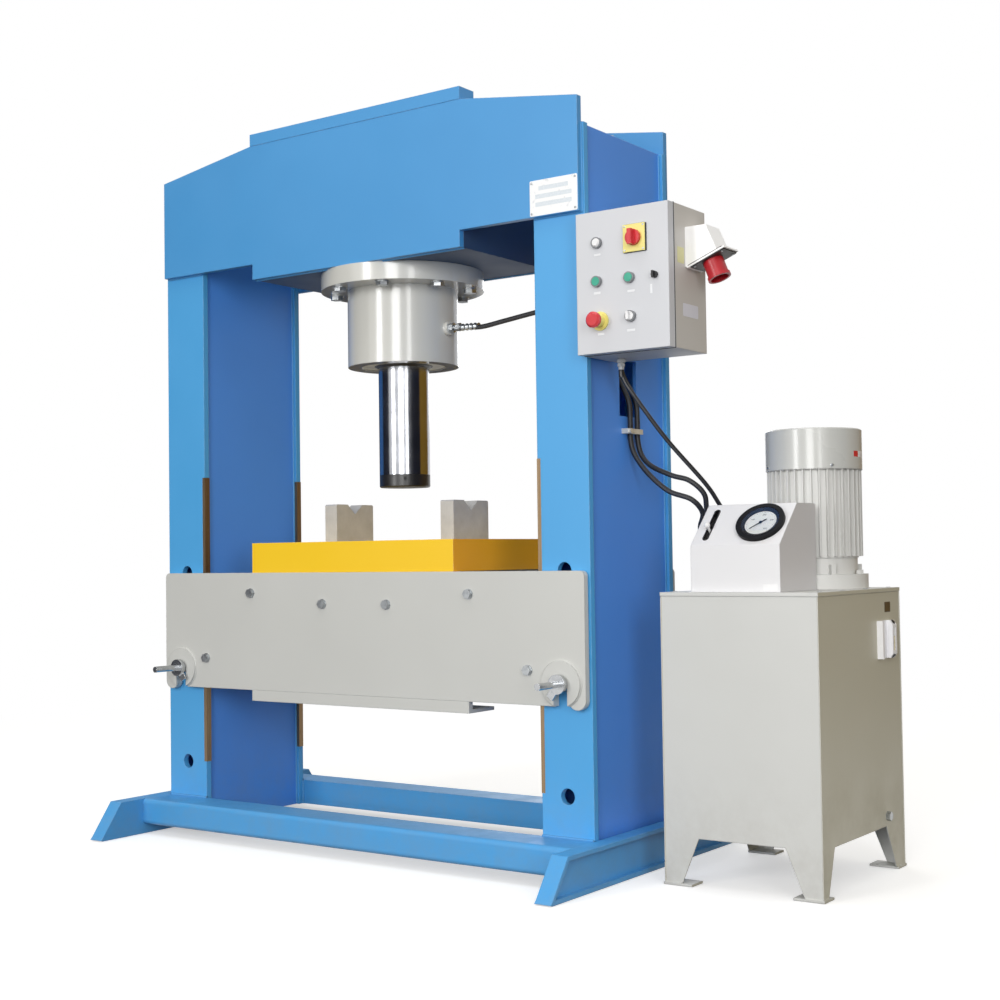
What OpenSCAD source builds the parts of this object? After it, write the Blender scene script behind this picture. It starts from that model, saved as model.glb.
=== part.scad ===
// H-frame hydraulic press with a height-adjustable bed and a separate power unit.
// The origin is the ram's axis at floor level: +X to the right, +Y to the back, +Z up.

/* [Frame] */
// Distance between the centre lines of the two columns
column_spacing = 1455; // [1200:5:1800]
// Height over the crown's top bars
frame_height = 2200; // [1830:5:2700]
// Width of a column along the press
column_width = 165; // [140:1:200]
// Depth of a column over its two flanges
column_depth = 450; // [375:5:560]
// Thickness of the column flanges
flange_thick = 20; // [12:1:28]
// Thickness of the column webs
web_thick = 12; // [8:1:16]
// Set-back of each web from the edge of the flanges
web_inset = 13; // [8:1:24]
// Height of the column bottoms above the floor
column_bottom = 30; // [20:1:60]
// Height difference between two pin holes
pin_pitch = 303; // [200:1:360]
// Height of the lowest pin hole
pin_first = 221; // [180:1:260]
// Radius of the pin holes in the flanges
pin_hole_radius = 22; // [16:0.5:30]
// Thickness of the wear strips along the inner edges of the flanges
strip_thick = 12; // [6:1:16]

/* [Crown] */
// Thickness of the crown's front and rear plates
crown_plate_thick = 20; // [12:1:30]
// Height of the crown plates at their ends
crown_end_height = 313; // [260:1:380]
// Height of the crown plates in the middle
crown_mid_height = 373; // [320:1:440]
// Half length of the raised middle of the crown
crown_mid_half = 411; // [340:1:450]
// Height of the top bars
top_bar_height = 37; // [20:1:60]
// Depth of the top bars
top_bar_depth = 69; // [40:1:90]
// Thickness of the plate that the cylinder hangs from
crown_base_thick = 48; // [30:1:60]
// Thickness of the crown's inner diaphragms
diaphragm_thick = 10; // [6:1:20]

/* [Base] */
// Height of the feet
foot_height = 110; // [90:1:140]
// Width of the feet
foot_width = 50; // [35:1:70]
// Overhang of each foot past the column at floor level
foot_reach = 292; // [220:1:360]
// Slant of the foot's end, measured along the floor
foot_slant = 84; // [50:1:120]
// Depth of the cross-members
beam_depth = 120; // [90:1:150]
// Height of the cross-members
beam_height = 80; // [60:1:90]

/* [Cylinder] */
// Outer radius of the cylinder barrel
barrel_radius = 171; // [150:1:190]
// Inner radius of the cylinder barrel
bore_radius = 130; // [110:1:140]
// Radius of the barrel's flange
barrel_flange_radius = 252; // [235:1:270]
// Thickness of the barrel's flange
barrel_flange_thick = 54; // [30:1:70]
// Length of the barrel below the crown
barrel_drop = 288; // [240:1:340]
// Length of the barrel inside the crown
barrel_rise = 338; // [320:1:345]
// Radius of the ram
ram_radius = 78; // [60:1:90]
// Gap between the ram's nose and the bolster at rest
ram_gap = 165; // [140:1:220]
// Number of flange bolts
flange_bolt_count = 8; // [6:1:12]

/* [Bed] */
// Height of the bed plates
bed_plate_height = 363; // [300:1:420]
// Thickness of the bed plates
bed_plate_thick = 20; // [12:1:30]
// Half length of the bars under the bed plates
tie_bar_half = 418; // [350:1:500]
// Height of the bars under the bed plates
tie_bar_height = 33; // [20:1:45]
// Length of the bolster plate
bolster_length = 784; // [600:1:900]
// Thickness of the bolster plate
bolster_thick = 92; // [60:1:110]
// Sideways offset of the bolster plate on the bed
bolster_offset = -24; // [-60:1:60]
// Width of one V-block along the press
block_width = 48; // [30:1:80]
// Length of one V-block across the press
block_length = 175; // [140:1:220]
// Height of one V-block
block_height = 118; // [90:1:124]
// Distance between the middles of the two V-blocks
block_spacing = 456; // [400:1:600]

/* [Cabinet] */
// Width of the control cabinet
cabinet_width = 278; // [260:1:340]
// Depth of the control cabinet without its door
cabinet_depth = 166; // [150:1:220]
// Height of the control cabinet
cabinet_height = 375; // [350:1:400]
// Depth of the cabinet door's folded edge
door_depth = 33; // [30:1:40]
// Sheet thickness of the cabinet and its door
cabinet_sheet = 2; // [1.5:0.5:3]

/* [Power unit] */
// Length of the oil tank along the press
tank_length = 444; // [420:1:560]
// Depth of the oil tank
tank_depth = 549; // [520:1:660]
// Height of the tank's lid above the floor
tank_top = 766; // [700:1:850]
// Sheet thickness of the tank
tank_sheet = 3; // [2:0.5:5]
// Gap between the press and the tank
tank_gap = 158; // [120:1:300]
// Length of the gauge housing
housing_length = 255; // [240:1:300]
// Depth of the gauge housing
housing_depth = 222; // [200:1:260]
// Height of the gauge housing at the back
housing_height = 230; // [220:1:260]
// Outer radius of the motor's fins
motor_radius = 128; // [120:1:135]

/* [Hidden] */

// Colours
frame_blue = "#4d9ddb";
bed_grey = "#cfd0cb";
cylinder_grey = "#bdbdb5";
bolster_yellow = "#fcd331";
steel = "#9c9a94";
bright_steel = "#c9ccd0";
strip_brown = "#8a6a48";
rubber_black = "#1c1c1e";
cabinet_grey = "#d3d5da";
panel_white = "#e6e6e9";
signal_red = "#d2323c";
signal_green = "#3fae94";
signal_yellow = "#f0dc3c";

// Clearances
running_gap = 0.05;  // between a shaft and its bearing
seat_gap = 0.3;      // between two pieces that touch but move apart
loose_gap = 0.5;     // round a bolt or a spigot

// Columns
column_x = column_spacing / 2;
column_in = column_x - column_width / 2;
column_out = column_x + column_width / 2;
column_half = column_depth / 2;
column_top = frame_height - 167;
web_in_x = column_in + web_inset + web_thick / 2;
web_out_x = column_out - web_inset - web_thick / 2;
web_span = column_depth - 2 * flange_thick;
pin_level = pin_first + pin_pitch;
strip_bottom = 225;
strip_top = 1132;
strip_proud = 2;
rebate_depth = strip_thick - strip_proud;

// Crown
crown_half = column_x + 75.5;
crown_bottom = frame_height - 410;
crown_face = column_half + crown_plate_thick;
crown_base_half = 405;
crown_base_bottom = crown_bottom - crown_base_thick;
crown_mid_top = crown_bottom + crown_mid_height;

// Base
foot_half = column_half + foot_reach;
foot_recess = 16;
foot_wall = 12;
beam_bottom = column_bottom;
beam_round = 14;
beam_wall = 8;

// Cylinder
barrel_bottom = crown_base_bottom - barrel_drop;
barrel_top = crown_base_bottom + barrel_rise;
barrel_cap = 50;
gland_bottom = barrel_bottom + 4;
gland_tall = 70;
gland_top = gland_bottom + gland_tall;
bolt_circle = 215;
flange_bolt_radius = 11;
flange_bolt_head = 34;
ram_down = 80;
piston_tall = 90;
piston_bottom = gland_top + ram_down + 5;
port_z = barrel_bottom + 106;
port_radius = 6;
return_y = 38;
return_z = barrel_top - barrel_cap / 2;

// Bed
bed_half = crown_half;
bed_inner = column_half + 2.5;
bed_outer = bed_inner + bed_plate_thick;
bed_bottom = pin_level - 61;
bed_top = bed_bottom + bed_plate_height;
bed_corner = 15;
pin_radius = pin_hole_radius - 0.5;
notch_radius = pin_radius + seat_gap;
lobe_radius = (bed_half - column_x - notch_radius) / 2;
lobe_x = bed_half - lobe_radius;
lobe_z = bed_bottom - 8 + lobe_radius;
boss_radius = 62;
boss_thick = 8;
tie_bar_depth = 121;
tie_bar_leg = 18;
tie_bar_floor = 10;
bed_bolt_radius = 8;
bed_bolt_head = 24;
bed_bolt_spots = [[421, bed_top - 63], [124, bed_top - 94.5], [column_in - 26.5, bed_bottom + 94]];
bolster_half_depth = bed_outer - 2.5;
bolster_top = bed_top + bolster_thick;
ram_tip = bolster_top + ram_gap;
nose_tall = 38;
spigot_radius = 25;
spigot_tall = 34;
set_screw_radius = 5;

// Hexagons: the distance across corners for a given distance across flats
function hex_radius(flats) = flats / 2 / cos(30);

// Cabinet
cabinet_left = column_out;
cabinet_right = cabinet_left + cabinet_width;
cabinet_top = crown_bottom - 19;
cabinet_bottom = cabinet_top - cabinet_height;
cabinet_front = -column_half - 12;
cabinet_back = cabinet_front + cabinet_depth;
door_back = cabinet_front - seat_gap;
door_front = door_back - door_depth;
hinge_x = cabinet_left - 4.2;
hinge_y = cabinet_front - 0.5;
hinge_radius = 4;
hinge_pin_radius = 2.5;
hinge_knuckle = 20;
hinge_levels = [54, cabinet_height - 94];

// Places of the controls on the door, from the cabinet's lower left corner
lamp_spot = [66, 291];
switch_spot = [181, 290];
start_spot = [64, 189];
pump_spot = [163, 189];
lock_spot = [238, 188];
estop_spot = [72, 84];
selector_spot = [165, 88];
collar_radius = 14.7;
collar_tall = 10;
button_radius = 11.5;
stem_radius = 5;
sleeve_radius = 11;
stem_end = door_back - 5;

// Power inlet
inlet_y0 = cabinet_front + 56;
inlet_width = 76;
inlet_tilt = 21.5;
inlet_wall = 3;

// Tank
tank_left = column_out + tank_gap;
tank_right = tank_left + tank_length;
tank_front = -129.5;
tank_back = tank_front + tank_depth;
tank_floor = 126;
lid_thick = 10;
pad_thick = 6;

// Gauge housing and its slanted panel
housing_left = tank_left + 81;
housing_right = housing_left + housing_length;
housing_front = tank_front + 19.5;
housing_back = housing_front + housing_depth;
housing_sheet = 2;
panel_low = 122;
panel_run = 110;
panel_tilt = atan2(housing_height - panel_low, panel_run);
panel_mid = [panel_run / 2, (panel_low + housing_height) / 2];
gauge_x = housing_right - 76.5;
gauge_radius = 66;
gauge_body_radius = 60;
gauge_recess = 54;
lever_x = housing_left + 35;
lever_pivot_depth = 100;
lever_shift = -19;
lever_length = 118;
lever_pin_radius = 4;
slot_half_length = 55;
slot_half_width = 5.5;

// Motor
motor_x = tank_left + 271;
motor_y = tank_front + 388;
shaft_radius = 14;
motor_base = tank_top;
rotor_radius = 60;
fin_bottom = motor_base + 84;
fin_top = motor_base + 324;
fan_cover_radius = motor_radius + 3;
fan_cover_top = motor_base + 435;
cover_rim = 3;
cover_wall = 1.5;
shaft_bottom = tank_top - 106;
pump_bottom = tank_top - 126;

// Hoses and cable
hose_radius = 7.25;
pipe_radius = 9;
pipe_nut = 27;
hose_nut = 22;
port_boss = 14;
cable_radius = 6;
hose_slot_low = 1252;
hose_slot_high = 1410;
hose_slot_y = [-38, 56];
clip_z = 1210;
clip_gap = 0.9;
clip_x = column_out - web_inset + 11;
second_hose_y = 39;
drop_x = column_x + 12.5;
drop_z = 1450;
web_fitting_z = 1590;
hose_post_tall = 34;
first_post = [tank_left + 37, 150];
second_post = [tank_left + 77, 165];
cabinet_gland = [52, -135];
housing_gland = [housing_left + 51, tank_top + 64];
gland_long = 30;

// Routes, each with the direction in which it starts and ends
ram_hose_route = [[230, 0, 1558], [300, 0, 1553], [380, 0, 1562], [470, 0, 1573], [560, 0, 1583],
    [630, 0, 1590]];
pressure_route = [[740, 0, 1450], [764, 0, 1375], [802, 0, 1300], [808, 0, 1240], [808, 0, 1190],
    [820, 0, 1145], [860, 5, 1090], [920, 10, 1040], [985, 20, 1015], [1000, 55, 978],
    [980, 78, 935], [985, 108, 880], [1005, 150, 800]];
return_route = [[740, 38, 1450], [764, 38, 1375], [802, 39, 1300], [808, 39, 1240], [808, 39, 1190],
    [820, 39, 1145], [852, 39, 1112], [915, 40, 1084], [965, 48, 1068], [998, 70, 1030],
    [995, 95, 975], [1015, 135, 880], [1045, 165, 800]];
cable_route = [[862, -135, 1366], [870, -132, 1335], [896, -118, 1288], [956, -58, 1175],
    [1016, 40, 1060], [1030, 95, 1003], [1042, 132, 955], [1080, 180, 890], [1099, 182, 842],
    [1100, 142, 830]];
rings_per_span = 2;
tube_sides = 10;

// A smooth curve through the points, with given directions at both ends
function unit(v) = v / norm(v);
function slope_at(p, i, first, last) =
    i == 0 ? first * norm(p[1] - p[0])
    : i == len(p) - 1 ? last * norm(p[i] - p[i - 1])
    : (p[i + 1] - p[i - 1]) / 2;
function curve_point(a, b, ta, tb, s) =
    a * (2 * pow(s, 3) - 3 * pow(s, 2) + 1) + ta * (pow(s, 3) - 2 * pow(s, 2) + s)
    + b * (3 * pow(s, 2) - 2 * pow(s, 3)) + tb * (pow(s, 3) - pow(s, 2));
function curve_slope(a, b, ta, tb, s) =
    (a - b) * (6 * pow(s, 2) - 6 * s) + ta * (3 * pow(s, 2) - 4 * s + 1)
    + tb * (3 * pow(s, 2) - 2 * s);
function stations(p) = concat(
    [for (i = [0 : len(p) - 2]) for (k = [0 : rings_per_span - 1]) [i, k / rings_per_span]],
    [[len(p) - 2, 1]]);
function ring(centre, slope, side, radius) =
    let (u = unit(cross(slope, side)), v = unit(cross(slope, u)))
    [for (k = [0 : tube_sides - 1])
        let (a = 360 * k / tube_sides) centre + radius * (cos(a) * u + sin(a) * v)];

// A round tube swept along a route; side is a direction that the route never takes
module swept_tube(p, radius, first, last, side) {
    places = stations(p);
    rings = [for (s = places)
        let (i = s[0], ta = slope_at(p, i, first, last), tb = slope_at(p, i + 1, first, last))
        ring(curve_point(p[i], p[i + 1], ta, tb, s[1]), curve_slope(p[i], p[i + 1], ta, tb, s[1]),
            side, radius)];
    n = len(rings);
    points = [for (r = rings) for (q = r) q];
    first_cap = [[for (k = [0 : tube_sides - 1]) k]];
    last_cap = [[for (k = [tube_sides - 1 : -1 : 0]) (n - 1) * tube_sides + k]];
    sides = [for (i = [0 : n - 2]) for (k = [0 : tube_sides - 1])
        let (next = (k + 1) % tube_sides)
        [i * tube_sides + k, (i + 1) * tube_sides + k, (i + 1) * tube_sides + next,
            i * tube_sides + next]];
    polyhedron(points = points, faces = concat(first_cap, last_cap, sides), convexity = 4);
}

// Places something once at each side of the press
module both_sides() {
    for (side = [0, 1]) mirror([side, 0, 0]) children();
}

// Places something at the front and, mirrored, at the back
module front_and_back() {
    for (side = [0, 1]) mirror([0, side, 0]) children();
}

// A cylinder along Y that starts at y0
module rod_y(radius, y0, y1, sides = 48) {
    translate([0, y0, 0]) rotate([-90, 0, 0]) cylinder(r = radius, h = y1 - y0, $fn = sides);
}

// A cylinder along X that starts at x0
module rod_x(radius, x0, x1, sides = 48) {
    translate([x0, 0, 0]) rotate([0, 90, 0]) cylinder(r = radius, h = x1 - x0, $fn = sides);
}

// A block given by its lowest and highest corners
module block(low, high) {
    translate(low) cube(high - low);
}

// An outline in the XZ plane made into a plate between two Y values
module plate_y(outline, y0, y1) {
    translate([0, y1, 0]) rotate([90, 0, 0]) linear_extrude(height = y1 - y0) polygon(outline);
}

// An outline in the YZ plane made into a plate between two X values
module plate_x(outline, x0, x1) {
    translate([x0, 0, 0]) rotate([90, 0, 90]) linear_extrude(height = x1 - x0) polygon(outline);
}

// ---------------------------------------------------------------- frame

module column_flanges() color(frame_blue) {
    both_sides() front_and_back() difference() {
        block([column_in, -column_half, column_bottom],
            [column_out, -column_half + flange_thick, column_top]);
        for (level = [0 : 2]) translate([column_x, 0, pin_first + level * pin_pitch])
            rod_y(pin_hole_radius, -column_half - 1, -column_half + flange_thick + 1);
        block([column_in - 1, -column_half - 1, strip_bottom],
            [column_in + rebate_depth, -column_half + flange_thick + 1, strip_top]);
    }
}

module column_web(x) {
    block([x - web_thick / 2, -web_span / 2, column_bottom],
        [x + web_thick / 2, web_span / 2, column_top]);
}

// The right column lets the hoses through: a round hole in its inner web, a tall slot in its outer web
module column_webs() color(frame_blue) difference() {
    both_sides() {
        column_web(web_in_x);
        column_web(web_out_x);
    }
    translate([0, 0, web_fitting_z]) rod_x(pipe_radius + loose_gap, web_in_x - web_thick,
        web_in_x + web_thick);
    block([web_out_x - web_thick, hose_slot_y[0], hose_slot_low],
        [web_out_x + web_thick, hose_slot_y[1], hose_slot_high]);
}

module wear_strips() color(strip_brown) {
    both_sides() front_and_back()
        block([column_in - strip_proud, -column_half, strip_bottom],
            [column_in + rebate_depth, -column_half + flange_thick, strip_top]);
}

crown_outline = [[-crown_half, crown_bottom], [-crown_base_half, crown_bottom],
    [-crown_base_half, crown_base_bottom], [crown_base_half, crown_base_bottom],
    [crown_base_half, crown_bottom], [crown_half, crown_bottom],
    [crown_half, crown_bottom + crown_end_height], [crown_mid_half, crown_mid_top],
    [-crown_mid_half, crown_mid_top], [-crown_half, crown_bottom + crown_end_height]];

module crown_plates() color(frame_blue) {
    front_and_back() plate_y(crown_outline, -crown_face, -column_half);
}

module crown_base() color(frame_blue) difference() {
    union() {
        block([-crown_base_half, -column_half, crown_base_bottom],
            [crown_base_half, column_half, crown_bottom]);
        both_sides()
            block([crown_base_half - diaphragm_thick, -column_half, crown_bottom - 1],
                [crown_base_half, column_half, crown_mid_top - 20]);
    }
    translate([0, 0, crown_base_bottom - 1])
        cylinder(r = barrel_radius + loose_gap, h = crown_base_thick + 2, $fn = 96);
    flange_bolt_places() translate([0, 0, crown_base_bottom - 1])
        cylinder(r = flange_bolt_radius + 0.2, h = crown_base_thick + 2, $fn = 24);
    translate([0, return_y, return_z])
        rod_x(12, crown_base_half - 2 * diaphragm_thick, crown_base_half + diaphragm_thick);
}

module crown_top_bars() color(frame_blue) {
    front_and_back()
        block([-crown_mid_half, -crown_face - 1, crown_mid_top],
            [crown_mid_half, -crown_face - 1 + top_bar_depth, crown_mid_top + top_bar_height]);
}

toe = 10;
function foot_outline(inset) =
    let (lean = foot_slant / foot_height, slip = inset * sqrt(1 + lean * lean),
        low = foot_half - slip - lean * inset, high = foot_half - slip - lean * (foot_height - inset))
    inset > 0
    ? [[-low, inset], [low, inset], [high, foot_height - inset], [-high, foot_height - inset]]
    : [[-foot_half + toe, 0], [foot_half - toe, 0], [foot_half - 2, toe / 4], [foot_half - toe, toe],
        [high, foot_height], [-high, foot_height], [-foot_half + toe, toe], [-foot_half + 2, toe / 4]];

module feet() color(frame_blue) {
    both_sides() difference() {
        plate_x(foot_outline(0), column_out, column_out + foot_width);
        plate_x(foot_outline(foot_wall), column_out + foot_width - foot_recess,
            column_out + foot_width + 1);
    }
}

module cross_members() color(frame_blue) {
    front_and_back() difference() {
        union() {
            block([-column_out, -column_half - beam_depth + beam_round, beam_bottom],
                [column_out, -column_half, beam_bottom + beam_height]);
            block([-column_out, -column_half - beam_depth, beam_bottom + beam_round],
                [column_out, -column_half, beam_bottom + beam_height - beam_round]);
            for (z = [beam_bottom + beam_round, beam_bottom + beam_height - beam_round])
                translate([0, -column_half - beam_depth + beam_round, z])
                    rod_x(beam_round, -column_out, column_out);
        }
        block([-column_out - 1, -column_half - beam_depth + beam_wall, beam_bottom + beam_wall],
            [column_out + 1, -column_half - beam_wall, beam_bottom + beam_height - beam_wall]);
    }
}

// ---------------------------------------------------------------- cylinder and ram

module flange_bolt_places() {
    for (k = [0 : flange_bolt_count - 1])
        rotate([0, 0, (k + 0.5) * 360 / flange_bolt_count]) translate([bolt_circle, 0, 0]) children();
}

module cylinder_barrel() color(cylinder_grey) difference() {
    union() {
        translate([0, 0, barrel_bottom])
            cylinder(r = barrel_radius, h = barrel_top - barrel_bottom, $fn = 96);
        translate([0, 0, crown_base_bottom - barrel_flange_thick])
            cylinder(r = barrel_flange_radius, h = barrel_flange_thick, $fn = 96);
        translate([0, 0, port_z]) rod_x(21, barrel_radius - 12, barrel_radius + port_boss);
        translate([0, return_y, return_z]) rod_x(16, barrel_radius - 20, barrel_radius + port_boss);
    }
    translate([0, 0, barrel_bottom - 1])
        cylinder(r = bore_radius, h = barrel_top - barrel_cap - barrel_bottom + 1, $fn = 96);
    flange_bolt_places() translate([0, 0, crown_base_bottom - barrel_flange_thick - 1])
        cylinder(r = flange_bolt_radius + loose_gap, h = barrel_flange_thick + 2, $fn = 24);
    translate([0, 0, port_z]) rod_x(port_radius, bore_radius - 10, barrel_radius + 15);
    translate([0, return_y, return_z]) rod_x(port_radius, 60, barrel_radius + 15);
    translate([60, return_y, return_z - barrel_cap])
        cylinder(r = port_radius, h = barrel_cap, $fn = 24);
}

module rod_gland() color(steel) difference() {
    translate([0, 0, gland_bottom]) cylinder(r = bore_radius - 0.2, h = gland_tall, $fn = 96);
    translate([0, 0, gland_bottom - 1])
        cylinder(r = ram_radius + running_gap, h = gland_tall + 2, $fn = 96);
}

module flange_bolts() color(steel) {
    flange_bolt_places() {
        translate([0, 0, crown_base_bottom - barrel_flange_thick - 13])
            cylinder(r = hex_radius(flange_bolt_head), h = 13, $fn = 6);
        translate([0, 0, crown_base_bottom - barrel_flange_thick - 1])
            cylinder(r = flange_bolt_radius, h = barrel_flange_thick + crown_base_thick - 4, $fn = 24);
    }
}

module ram() color(bright_steel) difference() {
    translate([0, 0, ram_tip + nose_tall])
        cylinder(r = ram_radius, h = piston_bottom - ram_tip - nose_tall, $fn = 96);
    translate([0, 0, ram_tip + nose_tall - 1])
        cylinder(r = spigot_radius + running_gap, h = spigot_tall + 3, $fn = 48);
}

module piston() color(steel) {
    translate([0, 0, piston_bottom])
        cylinder(r = bore_radius - running_gap, h = piston_tall, $fn = 96);
}

module ram_nose() color(rubber_black) difference() {
    union() {
        translate([0, 0, ram_tip + 3]) cylinder(r = ram_radius, h = nose_tall - 3, $fn = 96);
        translate([0, 0, ram_tip])
            cylinder(r1 = ram_radius - 3, r2 = ram_radius, h = 3, $fn = 96);
        translate([0, 0, ram_tip + nose_tall - 1])
            cylinder(r = spigot_radius, h = spigot_tall, $fn = 48);
    }
    rotate([0, 0, -50]) translate([0, 0, ram_tip + 25])
        rod_x(set_screw_radius, ram_radius - 14, ram_radius + 1, 24);
}

// ---------------------------------------------------------------- hoses, pipe and cable

module hex_x(flats, x0, x1) {
    translate([x0, 0, 0]) rotate([0, 90, 0])
        cylinder(r = hex_radius(flats), h = x1 - x0, $fn = 6);
}

module lid_post() {
    cylinder(r = 10, h = hose_post_tall, $fn = 24);
    cylinder(r = hex_radius(pipe_nut), h = 12, $fn = 6);
}

module hydraulic_fittings() color(steel) {
    translate([0, 0, port_z]) {
        rod_x(pipe_radius, barrel_radius + port_boss, ram_hose_route[0][0], 24);
        hex_x(pipe_nut, barrel_radius + port_boss, barrel_radius + 2 * port_boss);
        hex_x(hose_nut, barrel_radius + 38, barrel_radius + 52);
    }
    translate([0, 0, web_fitting_z]) {
        hex_x(pipe_nut, ram_hose_route[5][0], web_in_x - web_thick / 2);
        rod_x(pipe_radius, ram_hose_route[5][0], drop_x, 24);
        hex_x(pipe_nut, web_in_x + web_thick / 2, web_in_x + web_thick / 2 + 12);
        translate([drop_x, 0, 0]) sphere(r = pipe_radius, $fn = 24);
    }
    translate([drop_x, 0, drop_z]) cylinder(r = pipe_radius, h = web_fitting_z - drop_z, $fn = 24);
    for (y = [0, return_y]) translate([drop_x, y, drop_z])
        cylinder(r = hex_radius(hose_nut), h = 16, $fn = 6);
    translate([first_post[0], first_post[1], tank_top]) lid_post();
    translate([second_post[0], second_post[1], tank_top]) lid_post();
}

module return_pipe() color(steel) {
    translate([0, return_y, return_z]) {
        rod_x(pipe_radius, barrel_radius + port_boss, drop_x, 24);
        hex_x(hose_nut, barrel_radius + port_boss, barrel_radius + 2 * port_boss);
        translate([drop_x, 0, 0]) sphere(r = pipe_radius, $fn = 24);
    }
    translate([drop_x, return_y, drop_z + 16])
        cylinder(r = pipe_radius, h = return_z - drop_z - 16, $fn = 24);
}

module ram_hose() color(rubber_black)
    swept_tube(ram_hose_route, hose_radius, [1, 0, 0], [1, 0, 0], [0, 1, 0]);

module pressure_hose() color(rubber_black)
    swept_tube(pressure_route, hose_radius, [0, 0, -1], [0, 0, -1], [0, 1, 0]);

module return_hose() color(rubber_black)
    swept_tube(return_route, hose_radius, [0, 0, -1], [0, 0, -1], [0, 1, 0]);

module control_cable() color(rubber_black)
    swept_tube(cable_route, cable_radius, [0, 0, -1], [0, -1, 0], [1, 0, 0]);

module hose_clip() color(bright_steel) {
    difference() {
        block([column_out - web_inset, -30, clip_z - 7], [clip_x + 11, second_hose_y + 12, clip_z + 7]);
        for (y = [0, second_hose_y]) translate([clip_x, y, clip_z - 8])
            cylinder(r = hose_radius + clip_gap, h = 16, $fn = 32);
    }
    translate([0, -21, clip_z]) hex_x(13, clip_x + 11, clip_x + 17);
}

// ---------------------------------------------------------------- bed

// Front bed plate; the notch over the pin is open below, and its outer side ends in a round lobe
module bed_plate() difference() {
    union() {
        block([-bed_half, -bed_outer, lobe_z], [bed_half, -bed_inner, bed_top - bed_corner]);
        block([-bed_half + bed_corner, -bed_outer, bed_top - bed_corner],
            [bed_half - bed_corner, -bed_inner, bed_top]);
        block([-column_x, -bed_outer, bed_bottom], [column_x, -bed_inner, lobe_z + 1]);
        both_sides() {
            translate([bed_half - bed_corner, 0, bed_top - bed_corner])
                rod_y(bed_corner, -bed_outer, -bed_inner);
            translate([lobe_x, 0, lobe_z]) rod_y(lobe_radius, -bed_outer, -bed_inner);
            difference() {
                translate([column_x, 0, pin_level])
                    rod_y(boss_radius, -bed_outer - boss_thick, -bed_outer + 1, 96);
                block([column_x - boss_radius - 1, -bed_outer - boss_thick - 1, bed_bottom - 10],
                    [column_x, -bed_outer + 2, bed_bottom]);
            }
        }
    }
    both_sides() {
        translate([column_x, 0, pin_level])
            rod_y(notch_radius, -bed_outer - boss_thick - 1, -bed_inner + 1);
        block([column_x - notch_radius, -bed_outer - boss_thick - 1, bed_bottom - 20],
            [column_x + notch_radius, -bed_inner + 1, pin_level]);
        for (spot = bed_bolt_spots) translate([spot[0], 0, spot[1]])
            rod_y(bed_bolt_radius + 0.3, -bed_outer - 1, -bed_inner + 1, 24);
    }
}

module bed_plates() color(bed_grey) front_and_back() bed_plate();

module bed_tie_bars() color(bed_grey) {
    front_and_back()
        difference() {
            block([-tie_bar_half, -bed_outer, bed_bottom - tie_bar_height],
                [tie_bar_half, -bed_outer + tie_bar_depth, bed_bottom]);
            block([-tie_bar_half - 1, -bed_outer + tie_bar_leg,
                    bed_bottom - tie_bar_height + tie_bar_floor],
                [tie_bar_half + 1, -bed_outer + tie_bar_depth + 1, bed_bottom + 1]);
        }
}

module bed_spacers() color(steel) {
    both_sides() for (spot = bed_bolt_spots) translate([spot[0], 0, spot[1]]) difference() {
        rod_y(18, -bed_inner, bed_inner, 32);
        rod_y(bed_bolt_radius + loose_gap, -bed_inner - 1, bed_inner + 1, 24);
    }
}

module bed_bolts() color(steel) {
    both_sides() for (spot = bed_bolt_spots) translate([spot[0], 0, spot[1]]) {
        rod_y(bed_bolt_radius, -bed_outer - 1, bed_outer + 20, 24);
        rod_y(hex_radius(bed_bolt_head), -bed_outer - 11, -bed_outer, 6);
        rod_y(hex_radius(bed_bolt_head), bed_outer, bed_outer + 14, 6);
    }
}

module bolster_plate() color(bolster_yellow) {
    block([bolster_offset - bolster_length / 2, -bolster_half_depth, bed_top],
        [bolster_offset + bolster_length / 2, bolster_half_depth, bolster_top]);
}

v_half = 35;
v_deep = 28;
v_relief = 3;
v_outline = [[-block_length / 2, bolster_top], [block_length / 2, bolster_top],
    [block_length / 2, bolster_top + block_height - 4], [block_length / 2 - 4, bolster_top + block_height],
    [v_half, bolster_top + block_height], [v_relief, bolster_top + block_height - v_deep],
    [-v_relief, bolster_top + block_height - v_deep], [-v_half, bolster_top + block_height],
    [-block_length / 2 + 4, bolster_top + block_height], [-block_length / 2, bolster_top + block_height - 4]];

module v_blocks() color(steel) {
    both_sides() plate_x(v_outline, block_spacing / 2 - block_width / 2, block_spacing / 2 + block_width / 2);
}

pin_front = bed_outer + 14.5;
pin_collar = 13;
pin_stub = 90;
pin_stub_radius = 9.5;

module bed_pin() color(bright_steel) {
    translate([column_x, 0, pin_level]) {
        rod_y(pin_radius, -pin_front, column_half + 10);
        rod_y(pin_radius + 5, -pin_front - pin_collar, -pin_front);
        rod_y(pin_stub_radius, -pin_front - pin_collar - pin_stub, -pin_front - pin_collar + 1);
        rotate([0, 35, 0]) block([-11, -pin_front - 8, -46], [11, -pin_front - 3, 0]);
    }
}

module pin_left() mirror([1, 0, 0]) bed_pin();
module pin_right() bed_pin();

// ---------------------------------------------------------------- cabinet

module hinge_places() {
    for (level = hinge_levels) translate([hinge_x, hinge_y, cabinet_bottom + level]) children();
}

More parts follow.
